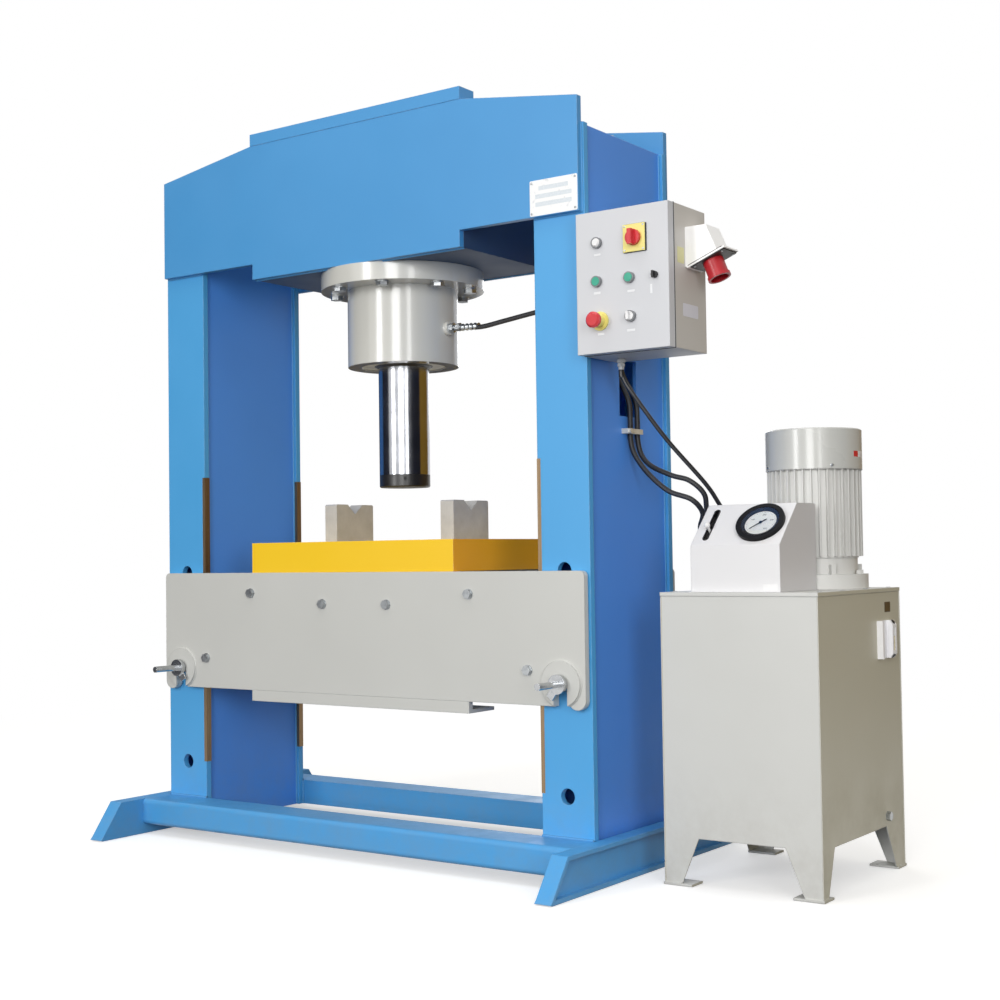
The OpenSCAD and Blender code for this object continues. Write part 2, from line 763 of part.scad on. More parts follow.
module cabinet_box() color(cabinet_grey) difference() {
    union() {
        difference() {
            block([cabinet_left, cabinet_front, cabinet_bottom], [cabinet_right, cabinet_back, cabinet_top]);
            block([cabinet_left + cabinet_sheet, cabinet_front - 1, cabinet_bottom + cabinet_sheet],
                [cabinet_right - cabinet_sheet, cabinet_back - cabinet_sheet, cabinet_top - cabinet_sheet]);
        }
        hinge_places() {
            cylinder(r = hinge_radius, h = hinge_knuckle, $fn = 24);
            cylinder(r = hinge_pin_radius, h = 2 * hinge_knuckle, $fn = 24);
            block([0, 0.5, 0], [cabinet_left - hinge_x + 1, 10, hinge_knuckle]);
        }
    }
    translate([cabinet_left + cabinet_gland[0], cabinet_gland[1], cabinet_bottom - 1])
        cylinder(r = gland_radius + loose_gap, h = cabinet_sheet + 2, $fn = 24);
}

// Mounting plate with its rail, a row of contactors, an overload relay and a transformer
plate_margin = 16;
pillar_margin = 30;
rail_margin = 26;
contactor_width = 45;
contactor_pitch = 54;
module electrical_plate() color(steel) {
    back = cabinet_back - cabinet_sheet - 6;
    block([cabinet_left + plate_margin, back - 3, cabinet_bottom + plate_margin],
        [cabinet_right - plate_margin, back, cabinet_top - plate_margin]);
    for (x = [cabinet_left + pillar_margin, cabinet_right - pillar_margin])
        for (z = [cabinet_bottom + pillar_margin, cabinet_top - pillar_margin])
            translate([x, 0, z]) rod_y(5, back - 1, cabinet_back - cabinet_sheet, 24);
    block([cabinet_left + rail_margin, back - 10, cabinet_top - 116],
        [cabinet_right - rail_margin, back - 2, cabinet_top - 84]);
    for (k = [0 : 2]) translate([cabinet_left + 40 + k * contactor_pitch, 0, 0])
        block([0, back - 82, cabinet_top - 140], [contactor_width, back - 9, cabinet_top - 60]);
    block([cabinet_left + 40, back - 70, cabinet_bottom + 50],
        [cabinet_left + 120, back - 2, cabinet_bottom + 130]);
    block([cabinet_left + 145, back - 40, cabinet_bottom + 60],
        [cabinet_right - 40, back - 2, cabinet_bottom + 110]);
}

// Places something on the door's front face; y = 0 is that face
module on_door(spot) {
    translate([cabinet_left + spot[0], door_front, cabinet_bottom + spot[1]]) children();
}

module cabinet_door() color(cabinet_grey) difference() {
    union() {
        difference() {
            block([cabinet_left, door_front, cabinet_bottom], [cabinet_right, door_back, cabinet_top]);
            block([cabinet_left + cabinet_sheet, door_front + cabinet_sheet,
                cabinet_bottom + cabinet_sheet],
                [cabinet_right - cabinet_sheet, door_back + 1, cabinet_top - cabinet_sheet]);
        }
        hinge_places() translate([0, 0, hinge_knuckle + seat_gap]) {
            cylinder(r = hinge_radius, h = hinge_knuckle - seat_gap, $fn = 24);
            block([0, -12, 0], [cabinet_left - hinge_x + 1, -1.5, hinge_knuckle - seat_gap]);
        }
    }
    hinge_places() translate([0, 0, hinge_knuckle])
        cylinder(r = hinge_pin_radius + running_gap, h = hinge_knuckle + 1, $fn = 24);
    for (spot = [lamp_spot, start_spot, pump_spot, selector_spot, estop_spot])
        on_door(spot) rod_y(sleeve_radius + 0.2, -1, cabinet_sheet + 1);
    for (spot = [switch_spot, lock_spot]) on_door(spot) rod_y(stem_radius + 0.1, -1, cabinet_sheet + 1);
}

module button_collars() color(bright_steel) {
    for (spot = [lamp_spot, start_spot, pump_spot, selector_spot]) on_door(spot) difference() {
        union() {
            rod_y(collar_radius, -collar_tall, 0);
            rod_y(sleeve_radius, -1, 24);
        }
        rod_y(button_radius + 0.1, -collar_tall - 1, -1);
        rod_y(stem_radius + 0.1, -2, 25);
    }
}

module pilot_lamp() color(panel_white) on_door(lamp_spot) {
    translate([0, -collar_tall, 0]) rotate([90, 0, 0])
        cylinder(r1 = button_radius, r2 = button_radius - 3, h = 4, $fn = 48);
    rod_y(button_radius, -collar_tall, -collar_tall + 5);
    rod_y(stem_radius, -collar_tall + 4, stem_end - door_front);
}

module push_button(spot) on_door(spot) {
    rod_y(button_radius, -collar_tall - 1, -collar_tall + 4);
    rod_y(stem_radius, -collar_tall + 3, stem_end - door_front - 4);
}

module start_button() color(signal_green) push_button(start_spot);
module pump_button() color(signal_green) push_button(pump_spot);

module selector_knob() color(panel_white) on_door(selector_spot) {
    rod_y(button_radius, -collar_tall - 2, -collar_tall + 5);
    block([-3.5, -collar_tall - 14, -10], [3.5, -collar_tall - 1, 10]);
    rod_y(stem_radius, -collar_tall + 4, stem_end - door_front);
}

switch_plate_half = [32.5, 36];
switch_plate_thick = 8;
module main_switch_plate() color(signal_yellow) on_door(switch_spot) difference() {
    block([-switch_plate_half[0], -switch_plate_thick, -switch_plate_half[1]],
        [switch_plate_half[0], 0, switch_plate_half[1]]);
    rod_y(stem_radius + 0.1, -switch_plate_thick - 1, 1);
}

module main_switch_knob() color(signal_red) on_door(switch_spot) {
    rod_y(21, -18, -switch_plate_thick - seat_gap);
    block([-6, -34, -20], [6, -17, 20]);
    rod_y(stem_radius, -9, stem_end - door_front);
}

module door_lock() color(rubber_black) on_door(lock_spot) {
    rod_y(9, -8, -seat_gap);
    block([-2.5, -18, -9], [2.5, -7, 9]);
    rod_y(stem_radius, -1, 25);
    block([-6, 22, -6], [26, 25, 6]);
}

estop_travel = 5;
estop_radius = 21;
module estop_collar() color(signal_yellow) on_door(estop_spot) difference() {
    union() {
        rod_y(25, -4, 0);
        rod_y(16, -22, -3);
        rod_y(sleeve_radius, -1, 22);
    }
    rod_y(button_radius + 0.1, -23, -4);
    rod_y(stem_radius + 0.1, -5, 23);
}

module estop_head() color(signal_red) on_door(estop_spot) {
    translate([0, -31, 0]) rotate([90, 0, 0]) cylinder(r = estop_radius, h = 9, $fn = 64);
    translate([0, -40, 0]) rotate([90, 0, 0])
        cylinder(r1 = estop_radius, r2 = estop_radius - 5, h = 5, $fn = 64);
    rod_y(button_radius, -32, -5 - estop_travel);
    rod_y(stem_radius, -6 - estop_travel, stem_end - door_front - estop_travel);
}

// Outline of the wedge housing, seen from the front: x from the cabinet wall, z from its bottom
inlet_outline = [[0, 216], [7, 216], [92, 249], [60, 320], [0, 320]];
inlet_hollow = [[-1, 220], [6, 219], [88, 251], [58, 317], [-1, 317]];
function shift_outline(outline, x, z) = [for (p = outline) [p[0] + x, p[1] + z]];

module inlet_housing() color(panel_white) difference() {
    union() {
        plate_y(shift_outline(inlet_outline, cabinet_right, cabinet_bottom),
            inlet_y0, inlet_y0 + inlet_width);
        translate([cabinet_right + 5, 0, cabinet_bottom + 213]) rotate([0, -inlet_tilt, 0])
            block([0, inlet_y0 - 2, -2], [116, inlet_y0 + inlet_width + 2, 3]);
    }
    plate_y(shift_outline(inlet_hollow, cabinet_right, cabinet_bottom), inlet_y0 + inlet_wall,
        inlet_y0 + inlet_width - inlet_wall);
    block([cabinet_right - 20, inlet_y0 - 5, cabinet_bottom + 180],
        [cabinet_right, inlet_y0 + inlet_width + 5, cabinet_bottom + 230]);
}

socket_long = 54;
module inlet_socket() color(signal_red)
    translate([cabinet_right + 5, inlet_y0 + inlet_width / 2, cabinet_bottom + 213])
    rotate([0, -inlet_tilt, 0]) translate([58, 0, -2.05]) rotate([180, 0, 0]) {
        difference() {
            union() {
                cylinder(r = 27.5, h = socket_long, $fn = 64);
                translate([0, 0, socket_long - 9]) cylinder(r = 30.5, h = 9, $fn = 64);
            }
            translate([0, 0, 12]) cylinder(r = 24, h = socket_long, $fn = 64);
        }
        for (k = [0 : 4]) rotate([0, 0, 36 + 72 * k]) translate([13, 0, 11])
            cylinder(r = 3, h = 20, $fn = 24);
    }

gland_radius = 8;
module gland(long) {
    cylinder(r = gland_radius, h = long, $fn = 24);
    translate([0, 0, 3]) cylinder(r = hex_radius(22), h = 8, $fn = 6);
    translate([0, 0, 14]) cylinder(r = hex_radius(20), h = 7, $fn = 6);
}

module cable_glands() color(steel) {
    translate([cabinet_left + cabinet_gland[0], cabinet_gland[1], cabinet_bottom + 3]) rotate([180, 0, 0]) {
        translate([0, 0, 3]) gland(gland_long);
        cylinder(r = gland_radius, h = 4, $fn = 24);
    }
    translate([housing_gland[0], housing_back, housing_gland[1]]) rotate([-90, 0, 0]) {
        gland(gland_long);
        translate([0, 0, -5]) cylinder(r = gland_radius, h = 6, $fn = 24);
    }
}

// ---------------------------------------------------------------- power unit

leg_low = 50;
front_leg = 100;
side_leg_front = 75;
side_leg_back = 126;
tank_front_outline = [[tank_left, pad_thick], [tank_left + leg_low, pad_thick],
    [tank_left + front_leg, tank_floor], [tank_right - front_leg, tank_floor],
    [tank_right - leg_low, pad_thick], [tank_right, pad_thick],
    [tank_right, tank_top - lid_thick], [tank_left, tank_top - lid_thick]];
tank_side_outline = [[tank_front, pad_thick], [tank_front + 33, pad_thick],
    [tank_front + side_leg_front, tank_floor], [tank_back - side_leg_back, tank_floor],
    [tank_back - 60, pad_thick], [tank_back, pad_thick],
    [tank_back, tank_top - lid_thick], [tank_front, tank_top - lid_thick]];

drain_y = tank_back - 120;
drain_z = tank_floor + 27;
drain_radius = 8;
module tank_body() color(bed_grey) difference() {
    union() {
        for (y = [tank_front, tank_back - tank_sheet]) plate_y(tank_front_outline, y, y + tank_sheet);
        for (x = [tank_left, tank_right - tank_sheet]) plate_x(tank_side_outline, x, x + tank_sheet);
        block([tank_left, tank_front, tank_floor], [tank_right, tank_back, tank_floor + tank_sheet]);
        for (x = [tank_left - 4, tank_right - 80]) for (y = [tank_front - 4, tank_back - 56])
            block([x, y, 0], [x + 84, y + 60, pad_thick]);
    }
    translate([0, drain_y, drain_z]) rod_x(drain_radius + loose_gap, tank_right - 10, tank_right + 1, 24);
}

module tank_lid() color(bed_grey) difference() {
    block([tank_left - 2, tank_front - 2, tank_top - lid_thick], [tank_right + 2, tank_back + 2, tank_top]);
    translate([motor_x, motor_y, tank_top - lid_thick - 1])
        cylinder(r = shaft_radius + 4, h = lid_thick + 2, $fn = 32);
    translate([filler_spot[0], filler_spot[1], tank_top - lid_thick - 1])
        cylinder(r = filler_neck + seat_gap, h = lid_thick + 2, $fn = 48);
}

sight_low = 577;
sight_height = 102;
sight_y0 = tank_back - 164;
sight_y1 = sight_y0 + 62;
sight_y2 = sight_y0 + 92;
sight_plate = 3;
sight_depth = 20;
sight_corner = 12;

// Moulded oil level gauge on the tank's side: a guard rib in front, the sight column behind it
module level_gauge() color(panel_white) translate([tank_right, 0, sight_low]) difference() {
    union() {
        block([0, sight_y0, 0], [sight_plate, sight_y2, sight_height]);
        block([0, sight_y0, 0], [sight_depth - 3, sight_y0 + 10, sight_height]);
        plate_y([[0, 0], [sight_corner, 0], [sight_depth, sight_corner],
            [sight_depth, sight_height - sight_corner], [sight_corner, sight_height], [0, sight_height]],
            sight_y1, sight_y2);
    }
    block([sight_depth - 7, sight_y1 + 8, sight_corner + 8],
        [sight_depth + 1, sight_y2 - 8, sight_height - sight_corner - 8]);
}

module drain_plug() color(steel) translate([0, drain_y, drain_z]) {
    rod_x(drain_radius, tank_right - 12, tank_right + 1, 24);
    hex_x(22, tank_right, tank_right + 12);
}

filler_spot = [tank_left + 92, tank_back - 80];
filler_neck = 20;
filler_radius = 32;
module filler_cap() color(rubber_black) translate([filler_spot[0], filler_spot[1], tank_top]) {
    translate([0, 0, seat_gap]) cylinder(r = filler_radius, h = 22, $fn = 48);
    translate([0, 0, -lid_thick - 30]) cylinder(r = filler_neck, h = lid_thick + 32, $fn = 48);
    for (k = [0 : 11]) rotate([0, 0, 30 * k])
        block([filler_radius - 2, -3, seat_gap + 2], [filler_radius + 2, 3, 20]);
}

function housing_outline(inset) = [
    [inset, -1 * (inset > 0 ? 1 : 0)], [inset, panel_low - inset * tan(panel_tilt / 2)],
    [panel_run + inset * tan(panel_tilt / 2), housing_height - inset],
    [housing_depth - inset, housing_height - inset], [housing_depth - inset, -1 * (inset > 0 ? 1 : 0)]];

// Places something on the slanted panel: x along the press, y up the slope, z out of the panel
module on_panel(x, along) {
    translate([x, housing_front + panel_mid[0], tank_top + panel_mid[1]])
        rotate([panel_tilt, 0, 0]) translate([0, along, 0]) children();
}

module control_housing() color(panel_white) difference() {
    plate_x(shift_outline(housing_outline(0), housing_front, tank_top), housing_left, housing_right);
    plate_x(shift_outline(housing_outline(housing_sheet), housing_front, tank_top),
        housing_left + housing_sheet, housing_right - housing_sheet);
    on_panel(gauge_x, 0) translate([0, 0, -20]) cylinder(r = gauge_body_radius + loose_gap, h = 40, $fn = 64);
    on_panel(lever_x, 0) block([-slot_half_width, -slot_half_length, -20],
        [slot_half_width, slot_half_length, 20]);
    translate([housing_gland[0], 0, housing_gland[1]])
        rod_y(gland_radius + loose_gap, housing_back - 10, housing_back + 1, 24);
}

// Directional valve under the lever, with two ears that carry the lever's hub
module valve_block() color(steel) {
    translate([lever_x, 0, tank_top]) block([-24, housing_front + 60, 0], [24, housing_front + 175, 58]);
    on_panel(lever_x, lever_shift) translate([0, 0, -lever_pivot_depth]) {
        difference() {
            for (x = [-16, 11]) rotate([-panel_tilt, 0, 0]) block([x, -10, -40], [x + 5, 10, 10]);
            rod_x(lever_pin_radius, -20, 20, 24);
        }
        rod_x(lever_pin_radius - running_gap, -18, 18, 24);
    }
}

module gauge_case() color(rubber_black) on_panel(gauge_x, 0) {
    difference() {
        union() {
            translate([0, 0, 0.05]) cylinder(r = gauge_radius, h = 11, $fn = 96);
            translate([0, 0, -40]) cylinder(r = gauge_body_radius, h = 42, $fn = 96);
        }
        translate([0, 0, 3]) cylinder(r = gauge_recess, h = 10, $fn = 96);
        translate([0, 0, -39]) cylinder(r = gauge_recess, h = 39, $fn = 96);
    }
    cylinder(r = spindle_radius, h = 8, $fn = 24);
}

needle_rest = 222;
needle_reach = 34;
needle_tail = 18;
spindle_radius = 2;
module gauge_needle() color(rubber_black) on_panel(gauge_x, 0) rotate([0, 0, needle_rest])
    translate([0, 0, 4.5]) difference() {
        union() {
            cylinder(r = 4, h = 2.5, $fn = 32);
            linear_extrude(height = 1.2)
                polygon([[0, -1.6], [needle_reach, -0.5], [needle_reach, 0.5], [0, 1.6]]);
            linear_extrude(height = 1.2)
                polygon([[0, -1.6], [0, 1.6], [-needle_tail, 1.2], [-needle_tail, -1.2]]);
        }
        translate([0, 0, -1]) cylinder(r = spindle_radius + running_gap, h = 5, $fn = 24);
    }

module control_lever() color(panel_white) on_panel(lever_x, lever_shift)
    translate([0, 0, -lever_pivot_depth]) {
        difference() {
            rod_x(9, -9, 9, 32);
            rod_x(lever_pin_radius, -10, 10, 24);
        }
        translate([0, 0, 8]) cylinder(r = 3.5, h = lever_length - 10, $fn = 24);
        translate([0, 0, lever_length]) sphere(r = 8, $fn = 32);
    }

// ---------------------------------------------------------------- motor and pump

fin_count = 36;
fin_thick = 4;
core_radius = motor_radius - 12;
mount_radius = 141;
mount_thick = 40;
bell_radius = 113;
fan_bottom = fin_top + 22;
fan_radius = 104;

module at_motor() {
    translate([motor_x, motor_y, 0]) children();
}

module motor_body() color(bed_grey) at_motor() difference() {
    union() {
        translate([0, 0, motor_base]) cylinder(r = mount_radius, h = mount_thick, $fn = 96);
        translate([0, 0, motor_base + mount_thick - 1])
            cylinder(r = bell_radius, h = fin_bottom - motor_base - mount_thick + 2, $fn = 96);
        for (k = [0 : 3]) rotate([0, 0, 90 * k]) {
            rotate([0, 0, 45]) block([bell_radius - 6, -7, motor_base + mount_thick - 1],
                [bell_radius + 18, 7, motor_base + mount_thick + 26]);
            translate([bell_radius + 14, 0, motor_base + mount_thick - 1])
                cylinder(r = hex_radius(18), h = 12, $fn = 6);
        }
        translate([0, 0, fin_bottom]) cylinder(r = core_radius, h = fin_top - fin_bottom, $fn = 96);
        translate([0, 0, fin_top - 1]) cylinder(r = fan_cover_radius - 1.7, h = 9, $fn = 96);
        for (k = [0 : fin_count - 1]) rotate([0, 0, k * 360 / fin_count])
            block([core_radius - 4, -fin_thick / 2, fin_bottom + 4],
                [motor_radius, fin_thick / 2, fin_top - 1]);
        block([-62, core_radius - 20, fin_bottom + 60], [62, motor_radius + 22, fin_bottom + 180]);
    }
    translate([0, 0, motor_base - 1]) cylinder(r = shaft_radius + running_gap, h = 360, $fn = 48);
    translate([0, 0, fin_bottom + 10])
        cylinder(r = rotor_radius + 1, h = fin_top - fin_bottom - 24, $fn = 64);
}

module motor_rotor() color(steel) at_motor() {
    translate([0, 0, shaft_bottom]) cylinder(r = shaft_radius, h = fan_bottom + 40 - shaft_bottom, $fn = 48);
    translate([0, 0, fin_bottom + 20]) cylinder(r = rotor_radius, h = fin_top - fin_bottom - 44, $fn = 64);
}

module motor_fan() color(panel_white) at_motor() difference() {
    union() {
        translate([0, 0, fan_bottom]) cylinder(r = 26, h = 38, $fn = 48);
        translate([0, 0, fan_bottom]) cylinder(r = fan_radius, h = 3, $fn = 64);
        for (k = [0 : 7]) rotate([0, 0, 45 * k])
            block([22, -1.5, fan_bottom + 2], [fan_radius, 1.5, fan_bottom + 34]);
    }
    translate([0, 0, fan_bottom - 1]) cylinder(r = shaft_radius, h = 41, $fn = 48);
}

module fan_cover() color(bed_grey) at_motor() difference() {
    union() {
        translate([0, 0, fin_top]) cylinder(r = fan_cover_radius, h = fan_cover_top - fin_top - cover_rim, $fn = 96);
        translate([0, 0, fan_cover_top - cover_rim])
            cylinder(r1 = fan_cover_radius, r2 = fan_cover_radius - cover_rim, h = cover_rim, $fn = 96);
    }
    translate([0, 0, fin_top - 1])
        cylinder(r = fan_cover_radius - cover_wall, h = fan_cover_top - fin_top - cover_rim - 1, $fn = 96);
    for (k = [0 : 23]) rotate([0, 0, 15 * k])
        block([38, -2.5, fan_cover_top - 20], [102, 2.5, fan_cover_top + 1]);
}

module pump_body() color(steel) {
    at_motor() difference() {
        translate([0, 0, pump_bottom]) cylinder(r = 55, h = tank_top - lid_thick - pump_bottom, $fn = 64);
        translate([0, 0, shaft_bottom]) cylinder(r = shaft_radius + running_gap, h = 120, $fn = 48);
    }
    at_motor() translate([-30, 0, 0]) {
        translate([0, 0, 200]) cylinder(r = 12, h = pump_bottom - 199, $fn = 24);
        translate([0, 0, 150]) cylinder(r = 35, h = 70, $fn = 48);
    }
}

column_flanges();
column_webs();
crown_plates();
crown_base();
crown_top_bars();
feet();
cross_members();
wear_strips();
cylinder_barrel();
rod_gland();
flange_bolts();
ram();
piston();
ram_nose();
hydraulic_fittings();
ram_hose();
return_pipe();
pressure_hose();
return_hose();
control_cable();
hose_clip();
bed_plates();
bed_tie_bars();
bed_spacers();
bed_bolts();
bolster_plate();
v_blocks();
pin_left();
pin_right();
cabinet_box();
electrical_plate();
cabinet_door();
main_switch_plate();
main_switch_knob();
pilot_lamp();
start_button();
pump_button();
button_collars();
door_lock();
estop_collar();
estop_head();
selector_knob();
inlet_housing();
inlet_socket();
cable_glands();
tank_body();
tank_lid();
level_gauge();
drain_plug();
filler_cap();
control_housing();
valve_block();
gauge_case();
gauge_needle();
control_lever();
motor_body();
fan_cover();
motor_rotor();
motor_fan();
pump_body();
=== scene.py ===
import math
import bmesh
import bpy
from mathutils import Matrix, Vector


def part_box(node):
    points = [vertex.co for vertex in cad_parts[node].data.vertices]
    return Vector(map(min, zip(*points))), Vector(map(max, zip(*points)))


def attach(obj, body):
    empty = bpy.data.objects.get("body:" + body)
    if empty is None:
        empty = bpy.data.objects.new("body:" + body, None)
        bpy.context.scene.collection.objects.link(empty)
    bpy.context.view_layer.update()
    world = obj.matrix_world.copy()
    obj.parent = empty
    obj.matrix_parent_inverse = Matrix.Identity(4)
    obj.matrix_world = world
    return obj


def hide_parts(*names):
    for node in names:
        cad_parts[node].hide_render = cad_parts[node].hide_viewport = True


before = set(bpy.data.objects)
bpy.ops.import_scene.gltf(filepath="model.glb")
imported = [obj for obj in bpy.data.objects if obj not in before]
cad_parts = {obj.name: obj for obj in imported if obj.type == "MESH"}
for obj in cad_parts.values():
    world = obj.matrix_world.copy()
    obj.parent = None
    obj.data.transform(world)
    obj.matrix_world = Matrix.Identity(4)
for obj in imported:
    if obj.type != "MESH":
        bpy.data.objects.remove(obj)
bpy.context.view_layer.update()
scene = bpy.context.scene
scene.view_settings.view_transform = "Standard"


# ---------------------------------------------------------------- camera
# A camera stands to the right of the press and a little below half its height, with a long lens,
# so that uprights stay upright. It is held level, apart from a slight roll of the tripod head.
camera = bpy.data.objects.new("camera", bpy.data.cameras.new("camera"))
scene.collection.objects.link(camera)
scene.camera = camera
camera.data.sensor_width = 36
camera.data.lens = 55.3
camera.data.clip_end = 200
yaw, pitch, roll = 0.6169, 0.0356, -0.0142
look = Vector((-math.sin(yaw) * math.cos(pitch), math.cos(yaw) * math.cos(pitch), math.sin(pitch)))
level = Vector((math.cos(yaw), math.sin(yaw), 0))
rise = level.cross(look)
across = math.cos(roll) * level + math.sin(roll) * rise
upward = math.cos(roll) * rise - math.sin(roll) * level
tripod = Matrix.Translation((2.9825, -3.6996, 0.8715))
camera.matrix_world = tripod @ Matrix((across, upward, -look)).transposed().to_4x4()


# ---------------------------------------------------------------- studio
# A plain pale floor that runs back to white, in a wide white room. Two tall windows and a corner box
# light the front, one box hangs overhead and one stands behind; dark flags give polished steel its edges.
def linear(code):
    """An sRGB hex colour as the linear values that a node holds."""
    parts = [int(code[k:k + 2], 16) / 255 for k in (1, 3, 5)]
    return [p / 12.92 if p <= 0.04045 else ((p + 0.055) / 1.055) ** 2.4 for p in parts] + [1.0]


def add(tree, kind, feeds=(), **settings):
    """Adds a node. settings are its properties; feeds are its inputs, each a value, an output of another
    node, or another node, which stands for the first of its outputs that is in use."""
    node = tree.nodes.new(kind)
    for name, value in settings.items():
        setattr(node, name, value)
    for socket, value in dict(feeds).items():
        if isinstance(value, bpy.types.Node):
            value = next(output for output in value.outputs if output.enabled)
        if isinstance(value, bpy.types.NodeSocket):
            tree.links.new(value, node.inputs[socket])
        else:
            node.inputs[socket].default_value = value
    return node


def blank(name):
    """A new material with an empty node tree."""
    material = bpy.data.materials.new(name)
    material.use_nodes = True
    material.node_tree.nodes.clear()
    return material, material.node_tree


def mesh_piece(name, points, faces, material):
    """A mesh object from points and faces."""
    mesh = bpy.data.meshes.new(name)
    mesh.from_pydata(points, [], faces)
    mesh.materials.append(material)
    piece = bpy.data.objects.new(name, mesh)
    scene.collection.objects.link(piece)
    return piece


def seen_directly(tree):
    """1 for a ray that the camera, a reflection or clear glass sends, and 0 for one that carries light."""
    path = add(tree, "ShaderNodeLightPath")
    seen = add(tree, "ShaderNodeMath", {0: path.outputs["Is Camera Ray"], 1: path.outputs["Is Glossy Ray"]},
               operation="MAXIMUM")
    return add(tree, "ShaderNodeMath", {0: seen, 1: path.outputs["Is Transmission Ray"]},
               operation="MAXIMUM")


# The floor is lit near the machine and plain white further off; for light that bounces it is dull.
floor_paint, tree = blank("matt white studio floor")
place = add(tree, "ShaderNodeTexCoord").outputs["Object"]
away = add(tree, "ShaderNodeVectorMath", {0: place}, operation="LENGTH")
far = add(tree, "ShaderNodeMapRange", {"Value": away, "From Min": 2.2, "From Max": 4.6},
          interpolation_type="SMOOTHSTEP")
seen = seen_directly(tree)
matt = add(tree, "ShaderNodeBsdfDiffuse", {"Color": linear("#dcdcdc")})
dull = add(tree, "ShaderNodeBsdfDiffuse", {"Color": linear("#504e4b")})
lift = add(tree, "ShaderNodeEmission", {"Color": linear("#ffffff"), "Strength": 0.48})
white = add(tree, "ShaderNodeEmission", {"Color": linear("#ffffff"), "Strength": 1.0})
near = add(tree, "ShaderNodeAddShader", {0: matt, 1: lift})
shown = add(tree, "ShaderNodeMixShader", {0: far, 1: near, 2: white})
whole = add(tree, "ShaderNodeMixShader", {0: seen, 1: dull, 2: shown})
add(tree, "ShaderNodeOutputMaterial", {"Surface": whole})
reach, below = 60, -0.001
floor_corners = [(-reach, -reach, below), (reach, -reach, below),
                 (reach, reach, below), (-reach, reach, below)]
mesh_piece("studio_floor", floor_corners, [(0, 1, 2, 3)], floor_paint)

world = bpy.data.worlds.new("white room")
scene.world = world
world.use_nodes = True
tree = world.node_tree
tree.nodes.clear()
seen = seen_directly(tree)
room = add(tree, "ShaderNodeBackground", {"Color": linear("#fffaf0"), "Strength": 0.46})
white = add(tree, "ShaderNodeBackground", {"Color": linear("#ffffff"), "Strength": 1.0})
shown = add(tree, "ShaderNodeMixShader", {0: seen, 1: room, 2: white})
add(tree, "ShaderNodeOutputWorld", {"Surface": shown})


def soft_box(name, stand, aim, wide, tall, power):
    """An upright area light that stands at one point and faces another, with its power in watts."""
    lamp = bpy.data.lights.new(name, "AREA")
    lamp.shape, lamp.size, lamp.size_y, lamp.energy = "RECTANGLE", wide, tall, power
    holder = bpy.data.objects.new(name, lamp)
    scene.collection.objects.link(holder)
    direction = Vector(aim) - Vector(stand)
    turned = direction.to_track_quat("-Z", "Y").to_matrix().to_4x4()
    holder.matrix_world = Matrix.Translation(stand) @ turned


soft_box("window_left", stand=(-1.6, -8.2, 2.7), aim=(0.1, 0, 1.1), wide=1.6, tall=3.8, power=197)
soft_box("window_right", stand=(3.4, -7.6, 2.7), aim=(0.3, 0, 0.9), wide=2.4, tall=3.8, power=228)
soft_box("top_box", stand=(0.6, -0.8, 5.8), aim=(0.3, 0, 0.6), wide=3.6, tall=3.6, power=70)
soft_box("corner_box", stand=(4.8, -3.5, 1.9), aim=(0.5, 0, 1.0), wide=1.5, tall=2.8, power=68)
soft_box("rear_box", stand=(-2.6, 4.6, 3.2), aim=(0.1, 0, 1.0), wide=3.0, tall=3.0, power=70)


def flag_cloth(name, colour):
    """Matt cloth for a flag."""
    material, tree = blank(name)
    cloth = add(tree, "ShaderNodeBsdfDiffuse", {"Color": linear(colour)})
    add(tree, "ShaderNodeOutputMaterial", {"Surface": cloth})
    return material


def flag(name, cloth, bearing, distance, wide, foot=0.0, top=3.4):
    """An upright card that only reflections see. bearing is in degrees, from the front to the right."""
    turn = math.radians(bearing)
    middle = Vector((math.sin(turn), -math.cos(turn), 0)) * distance
    half = Vector((math.cos(turn), math.sin(turn), 0)) * wide / 2
    points = [(c.x, c.y, z) for z in (foot, top) for c in (middle - half, middle + half)]
    card = mesh_piece(name, points, [(0, 1, 3, 2)], cloth)
    card.visible_camera = card.visible_diffuse = card.visible_shadow = False


slate, umber = flag_cloth("slate flag cloth", "#3c4050"), flag_cloth("umber flag cloth", "#a88338")
flag("flag_left", slate, bearing=-66, distance=4.2, wide=5.0)
flag("flag_rear_left", slate, bearing=-125, distance=4.2, wide=3.4)
flag("flag_right", slate, bearing=80, distance=4.6, wide=4.4)
flag("flag_rear_right", umber, bearing=138, distance=4.2, wide=5.0)
flag("flag_by_ram", slate, bearing=82, distance=0.5, wide=0.52, foot=1.05, top=1.52)


# ---------------------------------------------------------------- hoses and cable
# Three hydraulic hoses of black wrapped rubber, 14.5 mm thick, and a 12 mm PVC control cable. Each
# is cut to length, swaged into its end fittings and left to hang in its own curve.
def route_line(route, first, last, steps=8):
    """Points along a smooth curve through a route given in metres, with set directions at both ends."""
    stops = [Vector(p) for p in route]
    slopes = [(b - a) / 2 for a, b in zip(stops, stops[2:])]
    slopes.insert(0, Vector(first) * (stops[1] - stops[0]).length)
    slopes.append(Vector(last) * (stops[-1] - stops[-2]).length)
    line = []
    for a, b, leave, arrive in zip(stops, stops[1:], slopes, slopes[1:]):
        for k in range(steps):
            s = k / steps
            line.append(a * (2 * s**3 - 3 * s**2 + 1) + leave * (s**3 - 2 * s**2 + s)
                        + b * (3 * s**2 - 2 * s**3) + arrive * (s**3 - s**2))
    return [*line, stops[-1]]


